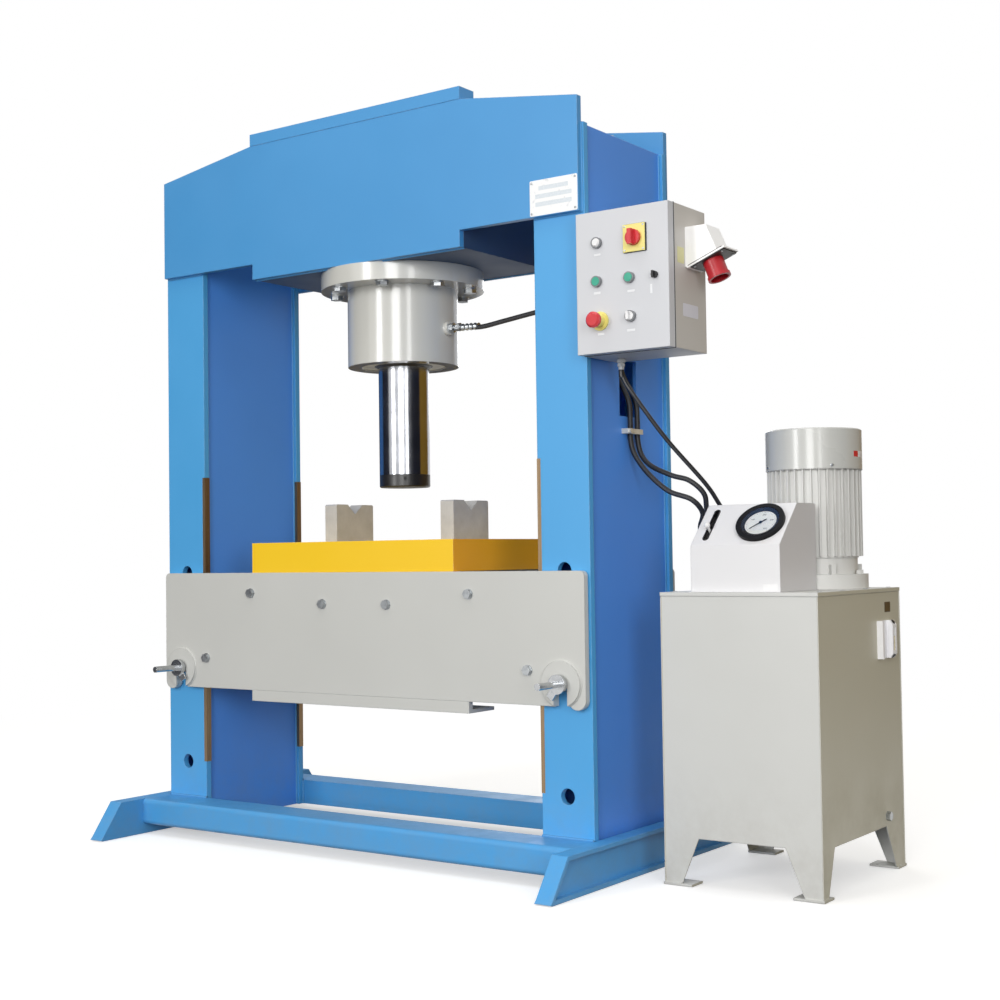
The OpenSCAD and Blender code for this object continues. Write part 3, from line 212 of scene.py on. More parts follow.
def plain_mesh(holder, name):
    """What an object's modifiers make, as a new plain mesh object at the origin; the holder is removed."""
    mesh = bpy.data.meshes.new_from_object(holder.evaluated_get(bpy.context.evaluated_depsgraph_get()))
    mesh.name = name
    bpy.data.objects.remove(holder)
    piece = bpy.data.objects.new(name, mesh)
    scene.collection.objects.link(piece)
    return piece


def grown(name, tree, points, edges=(), **sizes):
    """Runs a Geometry Nodes tree on a small mesh of points or lines, with its named inputs set."""
    seed = bpy.data.meshes.new(name + "_seed")
    seed.from_pydata([tuple(p) for p in points], edges, [])
    holder = bpy.data.objects.new(name + "_seed", seed)
    scene.collection.objects.link(holder)
    modifier = holder.modifiers.new("growth", "NODES")
    modifier.node_group = tree
    for item in tree.interface.items_tree:
        if item.item_type == "SOCKET" and item.in_out == "INPUT" and item.name in sizes:
            modifier[item.identifier] = sizes[item.name]
    return plain_mesh(holder, name)


def growth_tree(name, **inputs):
    """A Geometry Nodes tree with a geometry input and output. A named input is a kind and a value."""
    tree = bpy.data.node_groups.new(name, "GeometryNodeTree")
    tree.interface.new_socket("Geometry", in_out="INPUT", socket_type="NodeSocketGeometry")
    tree.interface.new_socket("Geometry", in_out="OUTPUT", socket_type="NodeSocketGeometry")
    for label, (kind, value) in inputs.items():
        socket = tree.interface.new_socket(label, in_out="INPUT", socket_type="NodeSocket" + kind)
        if value is not None:
            socket.default_value = value
    return tree, add(tree, "NodeGroupInput").outputs


def ripple(tree, run, pitch):
    """A sine wave along a curve, which swings once in each pitch."""
    turns = add(tree, "ShaderNodeMath", {0: run, 1: pitch}, operation="DIVIDE")
    turns = add(tree, "ShaderNodeMath", {0: turns, 1: 2 * math.pi}, operation="MULTIPLY")
    return add(tree, "ShaderNodeMath", {0: turns}, operation="SINE")


def round_skin(tree, line, thick, sides):
    """A closed round skin along a curve. thick is its radius at each point."""
    ring = add(tree, "GeometryNodeCurvePrimitiveCircle", {"Resolution": sides, "Radius": 1.0})
    return add(tree, "GeometryNodeCurveToMesh",
               {"Curve": line, "Profile Curve": ring, "Scale": thick, "Fill Caps": True})


def close_tree(tree, shape, finish):
    """Ends a tree: its instances are made real and wear their finish."""
    real = add(tree, "GeometryNodeRealizeInstances", {"Geometry": shape})
    dressed = add(tree, "GeometryNodeSetMaterial", {"Geometry": real, "Material": finish})
    add(tree, "NodeGroupOutput", {0: dressed})


# The tube's attribute "along" is the distance from its first end, for prints that wind round it.
tube_tree, given = growth_tree("tube along a line", Radius=("Float", 0.007), Sides=("Int", 16),
                               Ribs=("Float", 0.0), Pitch=("Float", 0.01), Finish=("Material", None))
line = add(tube_tree, "GeometryNodeMeshToCurve", {"Mesh": given["Geometry"]})
run = add(tube_tree, "GeometryNodeSplineParameter").outputs["Length"]
kept = add(tube_tree, "GeometryNodeCaptureAttribute", domain="POINT")
kept.capture_items.new("FLOAT", "along")
tube_tree.links.new(line.outputs[0], kept.inputs[0])
tube_tree.links.new(run, kept.inputs[1])
rib = add(tube_tree, "ShaderNodeMath", {0: ripple(tube_tree, run, given["Pitch"]), 1: given["Ribs"]},
          operation="MULTIPLY")
thick = add(tube_tree, "ShaderNodeMath", {0: given["Radius"], 1: rib}, operation="ADD")
skin = round_skin(tube_tree, kept, thick, given["Sides"])
noted = add(tube_tree, "GeometryNodeStoreNamedAttribute",
            {"Geometry": skin, "Name": "along", "Value": kept.outputs[1]},
            data_type="FLOAT", domain="POINT")
smooth = add(tube_tree, "GeometryNodeSetShadeSmooth", {"Geometry": noted})
close_tree(tube_tree, smooth, given["Finish"])


def tube(name, line, radius, finish, sides=16, ribs=0.0, pitch=0.01):
    """A round tube along a line of points, plain or ribbed."""
    links = [(k, k + 1) for k in range(len(line) - 1)]
    return grown(name, tube_tree, line, links, Radius=radius, Sides=sides, Ribs=ribs, Pitch=pitch,
                 Finish=finish)


def fit(piece, body):
    """Lets a piece move with a CAD body."""
    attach(piece, body)


# Wrapped black synthetic rubber: cured under nylon tape, which leaves a fine helical print and a
# low sheen; it goes grey with dust. The print is drawn 6 mm wide, wide enough to show.
print_width = 0.006
hose_rubber, tree = blank("wrapped black hose rubber")
place = add(tree, "ShaderNodeTexCoord").outputs["Object"]
along = add(tree, "ShaderNodeAttribute", attribute_name="along").outputs["Fac"]
turn = add(tree, "ShaderNodeMath", {0: along, 1: 2 * math.pi / print_width}, operation="MULTIPLY")
print_wave = add(tree, "ShaderNodeMath", {0: turn}, operation="SINE")
dust = add(tree, "ShaderNodeTexNoise", {"Vector": place, "Scale": 22.0, "Detail": 4.0})
tone = add(tree, "ShaderNodeMix", {0: dust, 6: linear("#101013"), 7: linear("#2a2a2e")}, data_type="RGBA")
sheen = add(tree, "ShaderNodeMapRange", {"Value": dust, "To Min": 0.36, "To Max": 0.6})
relief = add(tree, "ShaderNodeBump", {"Height": print_wave, "Strength": 0.5, "Distance": 0.0003})
rubber = add(tree, "ShaderNodeBsdfPrincipled",
             {"Base Color": tone, "Roughness": sheen, "Normal": relief, "IOR": 1.52})
add(tree, "ShaderNodeOutputMaterial", {"Surface": rubber})

# Black PVC cable jacket: extruded, smoother and a little glossier than the hoses.
cable_jacket, tree = blank("black PVC cable jacket")
place = add(tree, "ShaderNodeTexCoord").outputs["Object"]
dust = add(tree, "ShaderNodeTexNoise", {"Vector": place, "Scale": 30.0, "Detail": 3.0})
tone = add(tree, "ShaderNodeMix", {0: dust, 6: linear("#17171a"), 7: linear("#252528")}, data_type="RGBA")
relief = add(tree, "ShaderNodeBump", {"Height": dust, "Strength": 0.3, "Distance": 0.0003})
jacket = add(tree, "ShaderNodeBsdfPrincipled",
             {"Base Color": tone, "Roughness": 0.34, "Normal": relief, "IOR": 1.53})
add(tree, "ShaderNodeOutputMaterial", {"Surface": jacket})

# Zinc-plated steel: hose ends, nuts and small screws are barrel-plated, so they are pale blue-grey,
# evenly bright and slightly cloudy.
zinc_plate, tree = blank("bright zinc-plated steel")
place = add(tree, "ShaderNodeTexCoord").outputs["Object"]
cloud = add(tree, "ShaderNodeTexNoise", {"Vector": place, "Scale": 90.0, "Detail": 3.0})
tone = add(tree, "ShaderNodeMix", {0: cloud, 6: linear("#8f9397"), 7: linear("#c4c7c8")}, data_type="RGBA")
rough = add(tree, "ShaderNodeMapRange", {"Value": cloud, "To Min": 0.22, "To Max": 0.46})
relief = add(tree, "ShaderNodeBump", {"Height": cloud, "Strength": 0.25, "Distance": 0.0003})
plated = add(tree, "ShaderNodeBsdfPrincipled",
             {"Base Color": tone, "Metallic": 1.0, "Roughness": rough, "Normal": relief})
add(tree, "ShaderNodeOutputMaterial", {"Surface": plated})

# Each run is its route and the ways that it leaves its first end and enters its last.
to_right, to_front, down = (1, 0, 0), (0, -1, 0), (0, 0, -1)
hose_runs = {
    "ram_hose": (
        [(0.230, 0, 1.558), (0.300, 0, 1.553), (0.380, 0, 1.562), (0.470, 0, 1.573), (0.560, 0, 1.583),
         (0.630, 0, 1.590)], to_right, to_right),
    "pressure_hose": (
        [(0.740, 0, 1.450), (0.764, 0, 1.375), (0.802, 0, 1.300), (0.808, 0, 1.240), (0.808, 0, 1.190),
         (0.820, 0, 1.145), (0.860, 0.005, 1.090), (0.920, 0.010, 1.040), (0.985, 0.020, 1.015),
         (1.000, 0.055, 0.978), (0.980, 0.078, 0.935), (0.985, 0.108, 0.880), (1.005, 0.150, 0.800)],
        down, down),
    "return_hose": (
        [(0.740, 0.038, 1.450), (0.764, 0.038, 1.375), (0.802, 0.039, 1.300), (0.808, 0.039, 1.240),
         (0.808, 0.039, 1.190), (0.820, 0.039, 1.145), (0.852, 0.039, 1.112), (0.915, 0.040, 1.084),
         (0.965, 0.048, 1.068), (0.998, 0.070, 1.030), (0.995, 0.095, 0.975), (1.015, 0.135, 0.880),
         (1.045, 0.165, 0.800)], down, down),
    "control_cable": (
        [(0.862, -0.135, 1.366), (0.870, -0.132, 1.335), (0.896, -0.118, 1.288), (0.956, -0.058, 1.175),
         (1.016, 0.040, 1.060), (1.030, 0.095, 1.003), (1.042, 0.132, 0.955), (1.080, 0.180, 0.890),
         (1.099, 0.182, 0.842), (1.100, 0.142, 0.830)], down, to_front),
}
for name, (route, first, last) in hose_runs.items():
    line = route_line(route, first, last)
    is_cable = name == "control_cable"
    thick = 0.012 if is_cable else 0.0145
    piece = tube(name + "_run", line, thick / 2, cable_jacket if is_cable else hose_rubber,
                 sides=14 if is_cable else 18)
    for end, (tip, inside) in {"near": (line[0], line[1]), "far": (line[-1], line[-2])}.items():
        away = (inside - tip).normalized()
        if is_cable:
            collar = [tip + away * d for d in (-0.001, 0.004, 0.012, 0.02)]
            cover = tube(f"{name}_{end}_seal", collar, 0.0072, cable_jacket, sides=14, ribs=0.0005,
                         pitch=0.004)
        else:
            # The hose on the barrel has a long ferrule with deep grooves; the others are short and fine.
            is_long = name == "ram_hose" and end == "near"
            collar = [tip + away * (0.0005 * k - 0.002) for k in range(126 if is_long else 57)]
            cover = tube(f"{name}_{end}_ferrule", collar, 0.0096, zinc_plate, sides=20,
                         ribs=0.0016 if is_long else 0.0008, pitch=0.0152 if is_long else 0.0096)
        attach(cover, "frame")
    fit(piece, "frame")
    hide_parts(name)
    length = sum((q - p).length for p, q in zip(line, line[1:]))
    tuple(line[0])


# ---------------------------------------------------------------- welded frame
# Two columns of flat bar and plate, a crown of two deep plates with a thick base, and two long feet
# with channel cross-members, all MIG-welded from mild steel and sprayed with light blue enamel.
def enamel(name, colour, deep, roughness=0.34, wear=0.25, soil=0.25, grain=0.004, relief=0.00015, coat=0.0,
           ends=None):
    """Paint on steel: its colour drifts a little, it thins and pales on worn edges, where the pale is
    partly a painted highlight, and holds dust low down.
    grain is the width of the orange peel, and relief its height, in metres. ends is the colour of the faces
    that look along x: painted shade, for sides that take less light."""
    material, tree = blank(name)
    place = add(tree, "ShaderNodeTexCoord").outputs["Object"]
    facing = add(tree, "ShaderNodeNewGeometry").outputs["Normal"]
    rounded = add(tree, "ShaderNodeBevel", {"Radius": 0.0035}, samples=4)
    drift = add(tree, "ShaderNodeTexNoise",
                {"Vector": place, "Scale": 2.2, "Detail": 3.0, "Roughness": 0.6})
    base = add(tree, "ShaderNodeMix", {0: drift, 6: linear(deep), 7: linear(colour)}, data_type="RGBA")
    # Faces that look along x are mixed to the ends colour: painted shade on the sides.
    if ends:
        along = add(tree, "ShaderNodeSeparateXYZ", {0: facing}).outputs["X"]
        along = add(tree, "ShaderNodeMath", {0: along}, operation="ABSOLUTE")
        base = add(tree, "ShaderNodeMix", {0: along, 6: base, 7: linear(ends)}, data_type="RGBA")

    # Sprayed paint runs thin on a corner, and handling chips it there; the pale is partly a painted
    # highlight.
    turned = add(tree, "ShaderNodeVectorMath", {0: rounded, 1: facing}, operation="DOT_PRODUCT")
    edge = add(tree, "ShaderNodeMapRange", {"Value": turned, "From Min": 0.995, "From Max": 0.90})
    chips = add(tree, "ShaderNodeTexNoise",
                {"Vector": place, "Scale": 34.0, "Detail": 5.0, "Roughness": 0.65})
    chips = add(tree, "ShaderNodeMapRange", {"Value": chips, "From Min": 0.42, "From Max": 0.68})
    worn = add(tree, "ShaderNodeMath", {0: edge, 1: chips}, operation="MULTIPLY")
    worn = add(tree, "ShaderNodeMath", {0: worn, 1: wear}, operation="MULTIPLY")
    pale = add(tree, "ShaderNodeMix", {0: worn, 6: base, 7: linear("#dfe6ea")}, data_type="RGBA")

    # Dust settles in patches on ledges and on the lowest 350 mm.
    height = add(tree, "ShaderNodeSeparateXYZ", {0: place}).outputs["Z"]
    low = add(tree, "ShaderNodeMapRange", {"Value": height, "From Min": 0.35, "From Max": 0.0})
    patch = add(tree, "ShaderNodeTexNoise",
                {"Vector": place, "Scale": 9.0, "Detail": 5.0, "Roughness": 0.7})
    patch = add(tree, "ShaderNodeMapRange", {"Value": patch, "From Min": 0.4, "From Max": 0.75})
    up = add(tree, "ShaderNodeSeparateXYZ", {0: facing}).outputs["Z"]
    ledge = add(tree, "ShaderNodeMapRange", {"Value": up, "From Min": 0.6, "From Max": 1.0})
    settled = add(tree, "ShaderNodeMath", {0: low, 1: ledge}, operation="MAXIMUM")
    dusty = add(tree, "ShaderNodeMath", {0: settled, 1: patch}, operation="MULTIPLY")
    dusty = add(tree, "ShaderNodeMath", {0: dusty, 1: soil}, operation="MULTIPLY")
    tone = add(tree, "ShaderNodeMix", {0: dusty, 6: pale, 7: linear("#8d8578")}, data_type="RGBA")

    smear = add(tree, "ShaderNodeTexNoise", {"Vector": place, "Scale": 5.0, "Detail": 4.0})
    rough = add(tree, "ShaderNodeMapRange", {"Value": smear, "From Min": 0.3, "From Max": 0.7,
                                             "To Min": roughness - 0.05, "To Max": roughness + 0.08})
    rough = add(tree, "ShaderNodeMath", {0: rough, 1: dusty}, operation="ADD")
    peel = add(tree, "ShaderNodeTexNoise", {"Vector": place, "Scale": 1 / grain, "Detail": 1.0})
    skin = add(tree, "ShaderNodeBump",
               {"Height": peel, "Strength": 0.6, "Distance": relief, "Normal": rounded})
    paint = add(tree, "ShaderNodeBsdfPrincipled", {"Base Color": tone, "Roughness": rough, "Normal": skin,
                                                   "IOR": 1.5, "Coat Weight": coat, "Coat Roughness": 0.12})
    add(tree, "ShaderNodeOutputMaterial", {"Surface": paint})
    return material


def wear_it(material, *nodes):
    """Gives CAD nodes their finish."""
    for node in nodes:
        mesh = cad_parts[node].data
        mesh.materials.clear()
        mesh.materials.append(material)


# Gloss alkyd enamel, sprayed wet: a clean light blue with a soft orange peel about 4 mm across. The feet,
# flanges and webs wear lighter copies of it, the flanges lighter and more cyan than the webs: painted
# light. The crown's underside wears a dark copy: painted shade.
blue_enamel = enamel("light blue gloss enamel on welded steel", "#4c9cd8", "#4592ce", roughness=0.38)
wear_it(blue_enamel, "crown_plates", "crown_top_bars")
foot_enamel_painted_light = enamel("light blue gloss enamel on folded steel", "#4fa4e2", "#489bd9", roughness=0.38)
wear_it(foot_enamel_painted_light, "feet", "cross_members")
# The crown's base plate is painted a dark blue: painted shade, for the shadow under the crown.
base_enamel_painted_shade = enamel("blue enamel on base plate, painted dark as shade", "#2c4668", "#263d5c", roughness=0.6)
wear_it(base_enamel_painted_shade, "crown_base")
flange_enamel_painted_light = enamel("sky blue gloss enamel on flange plate", "#50a8e4", "#49a0dc", roughness=0.38)
wear_it(flange_enamel_painted_light, "column_flanges")
web_enamel_painted_light = enamel("light blue gloss enamel on web plate, painted bluer as lit", "#5397f2", "#4b8fe8", roughness=0.42)
wear_it(web_enamel_painted_light, "column_webs")

# A weld bead is a six-sided rod, laid in the corner, that swells with each ripple of the weld pool.
bead_tree, given = growth_tree("weld beads along lines", Leg=("Float", 0.005), Ripple=("Float", 0.009),
                               Finish=("Material", None))
line = add(bead_tree, "GeometryNodeMeshToCurve", {"Mesh": given["Geometry"]})
step = add(bead_tree, "ShaderNodeMath", {0: given["Ripple"], 1: 3.0}, operation="DIVIDE")
line = add(bead_tree, "GeometryNodeResampleCurve", {"Curve": line, "Length": step}, mode="LENGTH")
run = add(bead_tree, "GeometryNodeSplineParameter").outputs["Length"]
swell = add(bead_tree, "ShaderNodeMapRange",
            {"Value": ripple(bead_tree, run, given["Ripple"]), "From Min": -1.0, "From Max": 1.0,
             "To Min": 0.82, "To Max": 1.0})
thick = add(bead_tree, "ShaderNodeMath", {0: swell, 1: given["Leg"]}, operation="MULTIPLY")
skin = round_skin(bead_tree, line, thick, 6)
smooth = add(bead_tree, "GeometryNodeSetShadeSmooth", {"Geometry": skin})
close_tree(bead_tree, smooth, given["Finish"])


def weld(name, body, seams, finish, leg=0.005):
    """Fillet welds: each seam is a list of points along the corner that it fills."""
    points = [p for seam in seams for p in seam]
    links, start = [], 0
    for seam in seams:
        links += [(start + k, start + k + 1) for k in range(len(seam) - 1)]
        start += len(seam)
    fit(grown(name, bead_tree, points, links, Leg=leg, Finish=finish), body)


# Seams run up the columns behind the flanges, round the feet, and along the crown's plates and base.
low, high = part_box("column_flanges")
outer_x, flange_y, foot_z, column_z = high[0], high[1], low[2], high[2]
flange_wide, flange_thick, web_inset = 0.165, 0.02, 0.013
inner_x, behind_flange = outer_x - flange_wide, flange_y - flange_thick
both = (-1, 1)
weld("column_seam_welds", "frame", [
    [(side * x, end * behind_flange, foot_z + 0.004), (side * x, end * behind_flange, column_z - 0.004)]
    for side in both for end in both for x in (outer_x - web_inset, inner_x + web_inset)], blue_enamel)
beam_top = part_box("cross_members")[1][2]
foot_seams = []
for side in both:
    for y in (-flange_y, flange_y):
        foot_seams += [
            [(side * outer_x, y, foot_z), (side * outer_x, y, beam_top)],
            [(side * inner_x, y, beam_top), (side * (outer_x - 0.002), y, beam_top)],
            [(side * inner_x, y, foot_z), (side * inner_x, y, beam_top)]]
weld("foot_welds", "frame", foot_seams, blue_enamel, leg=0.006)
plate_low, plate_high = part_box("crown_plates")
base_low, base_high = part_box("crown_base")
plate_low_z = base_low[2] + 0.048
weld("crown_plate_welds", "frame", [
    [(side * (inner_x + 0.003), y, plate_low_z), (side * plate_high[0], y, plate_low_z),
     (side * plate_high[0], y, column_z)] for side in both for y in (-flange_y, flange_y)], blue_enamel)
base_seams = []
for side in both:
    for end in both:
        x, y = side * base_high[0], end * (base_high[1] - 0.003)
        base_seams.append([(x, y, plate_low_z + 0.004), (x, y, base_high[2] - 0.004)])
for y in (-base_high[1], base_high[1]):
    base_seams.append([(-base_high[0], y, base_low[2]), (base_high[0], y, base_low[2])])
weld("crown_base_welds", "frame", base_seams, blue_enamel, leg=0.004)


# ---------------------------------------------------------------- data plate
# A blank plate of brushed aluminium, 1 mm thick, held by four drive rivets on the right end of the
# crown's front. Its printed white ground is worn in the middle; it carries no writing.
def thin_plate(name, body, middle, face, wide, tall, thick, finish, corner=0.004, steps=5):
    """A flat plate with round corners and a small bevel, laid on a surface. face is its across and up."""
    middle, (across, up) = Vector(middle), (Vector(way).normalized() for way in face)
    out = across.cross(up)
    outline = []
    for quarter, (sx, sy) in enumerate(((1, 1), (-1, 1), (-1, -1), (1, -1))):
        for k in range(steps + 1):
            turn = math.pi / 2 * (quarter + k / steps)
            outline.append((sx * (wide / 2 - corner) + corner * math.cos(turn),
                            sy * (tall / 2 - corner) + corner * math.sin(turn)))
    bevel = min(thick * 0.35, corner * 0.5)
    layers = [(0.0, 0.0), (thick - bevel, 0.0), (thick, bevel)]
    points = [middle + across * x * (1 - 2 * inset / wide) + up * y * (1 - 2 * inset / tall) + out * height
              for height, inset in layers for x, y in outline]
    n = len(outline)
    faces = [(r * n + k, r * n + (k + 1) % n, (r + 1) * n + (k + 1) % n, (r + 1) * n + k)
             for r in range(len(layers) - 1) for k in range(n)]
    faces += [tuple(range(n - 1, -1, -1)), tuple(range((len(layers) - 1) * n, len(layers) * n))]
    fit(mesh_piece(name, points, faces, finish), body)


plate_ground, tree = blank("white ground on brushed aluminium")
place = add(tree, "ShaderNodeTexCoord").outputs["Object"]
drawn = add(tree, "ShaderNodeMapping", {"Vector": place, "Scale": (12.0, 12.0, 900.0)})
brush = add(tree, "ShaderNodeTexNoise", {"Vector": drawn, "Scale": 1.0, "Detail": 3.0})
wear = add(tree, "ShaderNodeTexNoise", {"Vector": place, "Scale": 60.0, "Detail": 4.0})
worn = add(tree, "ShaderNodeMapRange", {"Value": wear, "From Min": 0.6, "From Max": 0.75})
ground = add(tree, "ShaderNodeMix", {0: worn, 6: linear("#f4f5f6"), 7: linear("#cfd3d8")}, data_type="RGBA")
relief = add(tree, "ShaderNodeBump", {"Height": brush, "Strength": 0.2, "Distance": 0.0001})
shown = add(tree, "ShaderNodeBsdfPrincipled", {"Base Color": ground, "Roughness": 0.4, "Normal": relief,
                                               "Coat Weight": 0.3, "Coat Roughness": 0.2})
add(tree, "ShaderNodeOutputMaterial", {"Surface": shown})

# Three pale bands stand where a printed plate would have its fields.
print_ink, tree = blank("pale blue-grey screen print")
place = add(tree, "ShaderNodeTexCoord").outputs["Object"]
thin = add(tree, "ShaderNodeTexNoise", {"Vector": place, "Scale": 220.0, "Detail": 3.0})
tone = add(tree, "ShaderNodeMix", {0: thin, 6: linear("#c9d3dc"), 7: linear("#e6ebef")}, data_type="RGBA")
ink = add(tree, "ShaderNodeBsdfPrincipled", {"Base Color": tone, "Roughness": 0.45})
add(tree, "ShaderNodeOutputMaterial", {"Surface": ink})

facing_front = ((1, 0, 0), (0, 0, 1))
facing_right = ((0, 1, 0), (0, 0, 1))
facing_rear = ((-1, 0, 0), (0, 0, 1))
plate_wide, plate_tall, plate_thick, from_edge = 0.154, 0.098, 0.001, 0.002
plate_x, plate_y = plate_high[0] - from_edge - plate_wide / 2, plate_low[1]
plate_z = plate_low_z + from_edge + plate_tall / 2
thin_plate("data_plate", "frame", (plate_x, plate_y, plate_z), facing_front,
           plate_wide, plate_tall, plate_thick, plate_ground)
for k, (dz, wide) in enumerate(((0.026, 0.096), (0.004, 0.118), (-0.018, 0.118))):
    thin_plate(f"data_plate_field_{k + 1}", "frame",
               (plate_x, plate_y - plate_thick, plate_z + dz), facing_front,
               wide, 0.012, 0.0001, print_ink, corner=0.002)

# A head is a short prism with a chamfered top, which may hold a socket and may lie on a washer.
head_tree, given = growth_tree("screw heads on points", Radius=("Float", 0.004), Height=("Float", 0.003),
                               Sides=("Int", 6), Crown=("Float", 0.88), Socket=("Float", 0.0),
                               Washer=("Float", 0.0), Facing=("Vector", None), Finish=("Material", None))
side_tall = add(head_tree, "ShaderNodeMath", {0: given["Height"], 1: 0.78}, operation="MULTIPLY")
top_tall = add(head_tree, "ShaderNodeMath", {0: given["Height"], 1: 0.22}, operation="MULTIPLY")
prism = add(head_tree, "GeometryNodeMeshCone", {"Vertices": given["Sides"], "Radius Top": given["Radius"],
                                                "Radius Bottom": given["Radius"], "Depth": side_tall})
normal = add(head_tree, "GeometryNodeInputNormal")
up_face = add(head_tree, "ShaderNodeSeparateXYZ", {0: normal}).outputs["Z"]
is_top = add(head_tree, "FunctionNodeCompare", {0: up_face, 1: 0.9}, data_type="FLOAT",
             operation="GREATER_THAN")
raised = add(head_tree, "GeometryNodeExtrudeMesh",
             {"Mesh": prism, "Selection": is_top, "Offset Scale": top_tall}, mode="FACES")
chamfer = add(head_tree, "GeometryNodeScaleElements",
              {"Geometry": raised, "Selection": raised.outputs["Top"], "Scale": given["Crown"]},
              domain="FACE")
lip = add(head_tree, "GeometryNodeExtrudeMesh",
          {"Mesh": chamfer, "Selection": raised.outputs["Top"], "Offset Scale": 0.0}, mode="FACES")
mouth = add(head_tree, "GeometryNodeScaleElements",
            {"Geometry": lip, "Selection": lip.outputs["Top"], "Scale": given["Socket"]}, domain="FACE")
deep = add(head_tree, "ShaderNodeMath", {0: given["Height"], 1: -0.55}, operation="MULTIPLY")
sunk = add(head_tree, "GeometryNodeExtrudeMesh",
           {"Mesh": mouth, "Selection": lip.outputs["Top"], "Offset Scale": deep}, mode="FACES")
has_socket = add(head_tree, "FunctionNodeCompare", {0: given["Socket"], 1: 0.01}, data_type="FLOAT",
                 operation="GREATER_THAN")
head = add(head_tree, "GeometryNodeSwitch", {"Switch": has_socket, "False": chamfer, "True": sunk},
           input_type="GEOMETRY")
flat = add(head_tree, "GeometryNodeMeshCylinder",
           {"Vertices": 24, "Radius": given["Washer"], "Depth": 0.0024}, fill_type="NGON")
has_washer = add(head_tree, "FunctionNodeCompare", {0: given["Washer"], 1: 0.0001}, data_type="FLOAT",
                 operation="GREATER_THAN")
washer = add(head_tree, "GeometryNodeSwitch", {"Switch": has_washer, "True": flat}, input_type="GEOMETRY")
both_parts = add(head_tree, "GeometryNodeJoinGeometry", {0: head})
head_tree.links.new(washer.outputs[0], both_parts.inputs[0])
turn = add(head_tree, "FunctionNodeAlignRotationToVector", {"Vector": given["Facing"]}, axis="Z")
placed = add(head_tree, "GeometryNodeInstanceOnPoints",
             {"Points": given["Geometry"], "Instance": both_parts, "Rotation": turn})
close_tree(head_tree, placed, given["Finish"])


def heads(name, body, spots, facing, across, tall, sides=6, crown=0.88, socket=0.0, washer=0.0,
          finish=None):
    """Screw or rivet heads at spots on a surface that faces one way. across is their width, and washer that
    of a washer. crown and socket are the widths of the top and of its hole, as parts of the head's."""
    piece = grown(name, head_tree, spots, Radius=across / 2, Height=tall, Sides=sides, Crown=crown,
                  Socket=socket, Washer=washer / 2, Facing=facing, Finish=finish or zinc_plate)
    fit(piece, body)


# Four drive rivets, one in each corner.
rivet_x, rivet_z = plate_wide / 2 - 0.007, plate_tall / 2 - 0.007
heads("data_plate_rivets", "frame", [
    (plate_x + sx * rivet_x, plate_y - 0.0008, plate_z + sz * rivet_z) for sx in both for sz in both],
    (0, -1, 0), across=0.0065, tall=0.002, sides=20, crown=0.55)


# ---------------------------------------------------------------- wear strips
# Flat bronze strips on the flange edges guide the bed: bare, rubbed brown, with long pale scores.
# Countersunk socket screws hold them, 115 mm apart.
strip_bronze, tree = blank("rubbed bronze guide strip")
place = add(tree, "ShaderNodeTexCoord").outputs["Object"]
drawn = add(tree, "ShaderNodeMapping", {"Vector": place, "Scale": (260.0, 260.0, 4.0)})
score = add(tree, "ShaderNodeTexNoise", {"Vector": drawn, "Scale": 1.0, "Detail": 4.0})
tone = add(tree, "ShaderNodeMix", {0: score, 6: linear("#6d5945"), 7: linear("#a38d70")}, data_type="RGBA")
relief = add(tree, "ShaderNodeBump", {"Height": score, "Strength": 0.4, "Distance": 0.0002})
strip = add(tree, "ShaderNodeBsdfPrincipled",
            {"Base Color": tone, "Metallic": 1.0, "Roughness": 0.42, "Normal": relief})
add(tree, "ShaderNodeOutputMaterial", {"Surface": strip})
wear_it(strip_bronze, "wear_strips")

strip_low_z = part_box("wear_strips")[0][2]
strip_pitch, strip_screws = 0.115, 8
for side, word in ((-1, "left"), (1, "right")):
    heads(f"wear_strip_screws_{word}", "frame", [
        (side * (inner_x - 0.0022), end * (flange_y - 0.01), strip_low_z + 0.05 + strip_pitch * k)
        for end in both for k in range(strip_screws)], (-side, 0, 0), across=0.011, tall=0.0007, sides=16,
        crown=0.98, socket=0.5, finish=strip_bronze)


# ---------------------------------------------------------------- cylinder
# A bored steel barrel with a thick flange, hung under the crown by eight hexagon bolts, and a
# bronze-lined gland in its mouth. The outside is turned, then painted warm grey.
barrel_enamel = enamel("warm grey gloss enamel on a turned barrel", "#d4d4cf", "#cacac4", roughness=0.2,
                       wear=0.15, soil=0.1, coat=0.6)
wear_it(barrel_enamel, "cylinder_barrel")


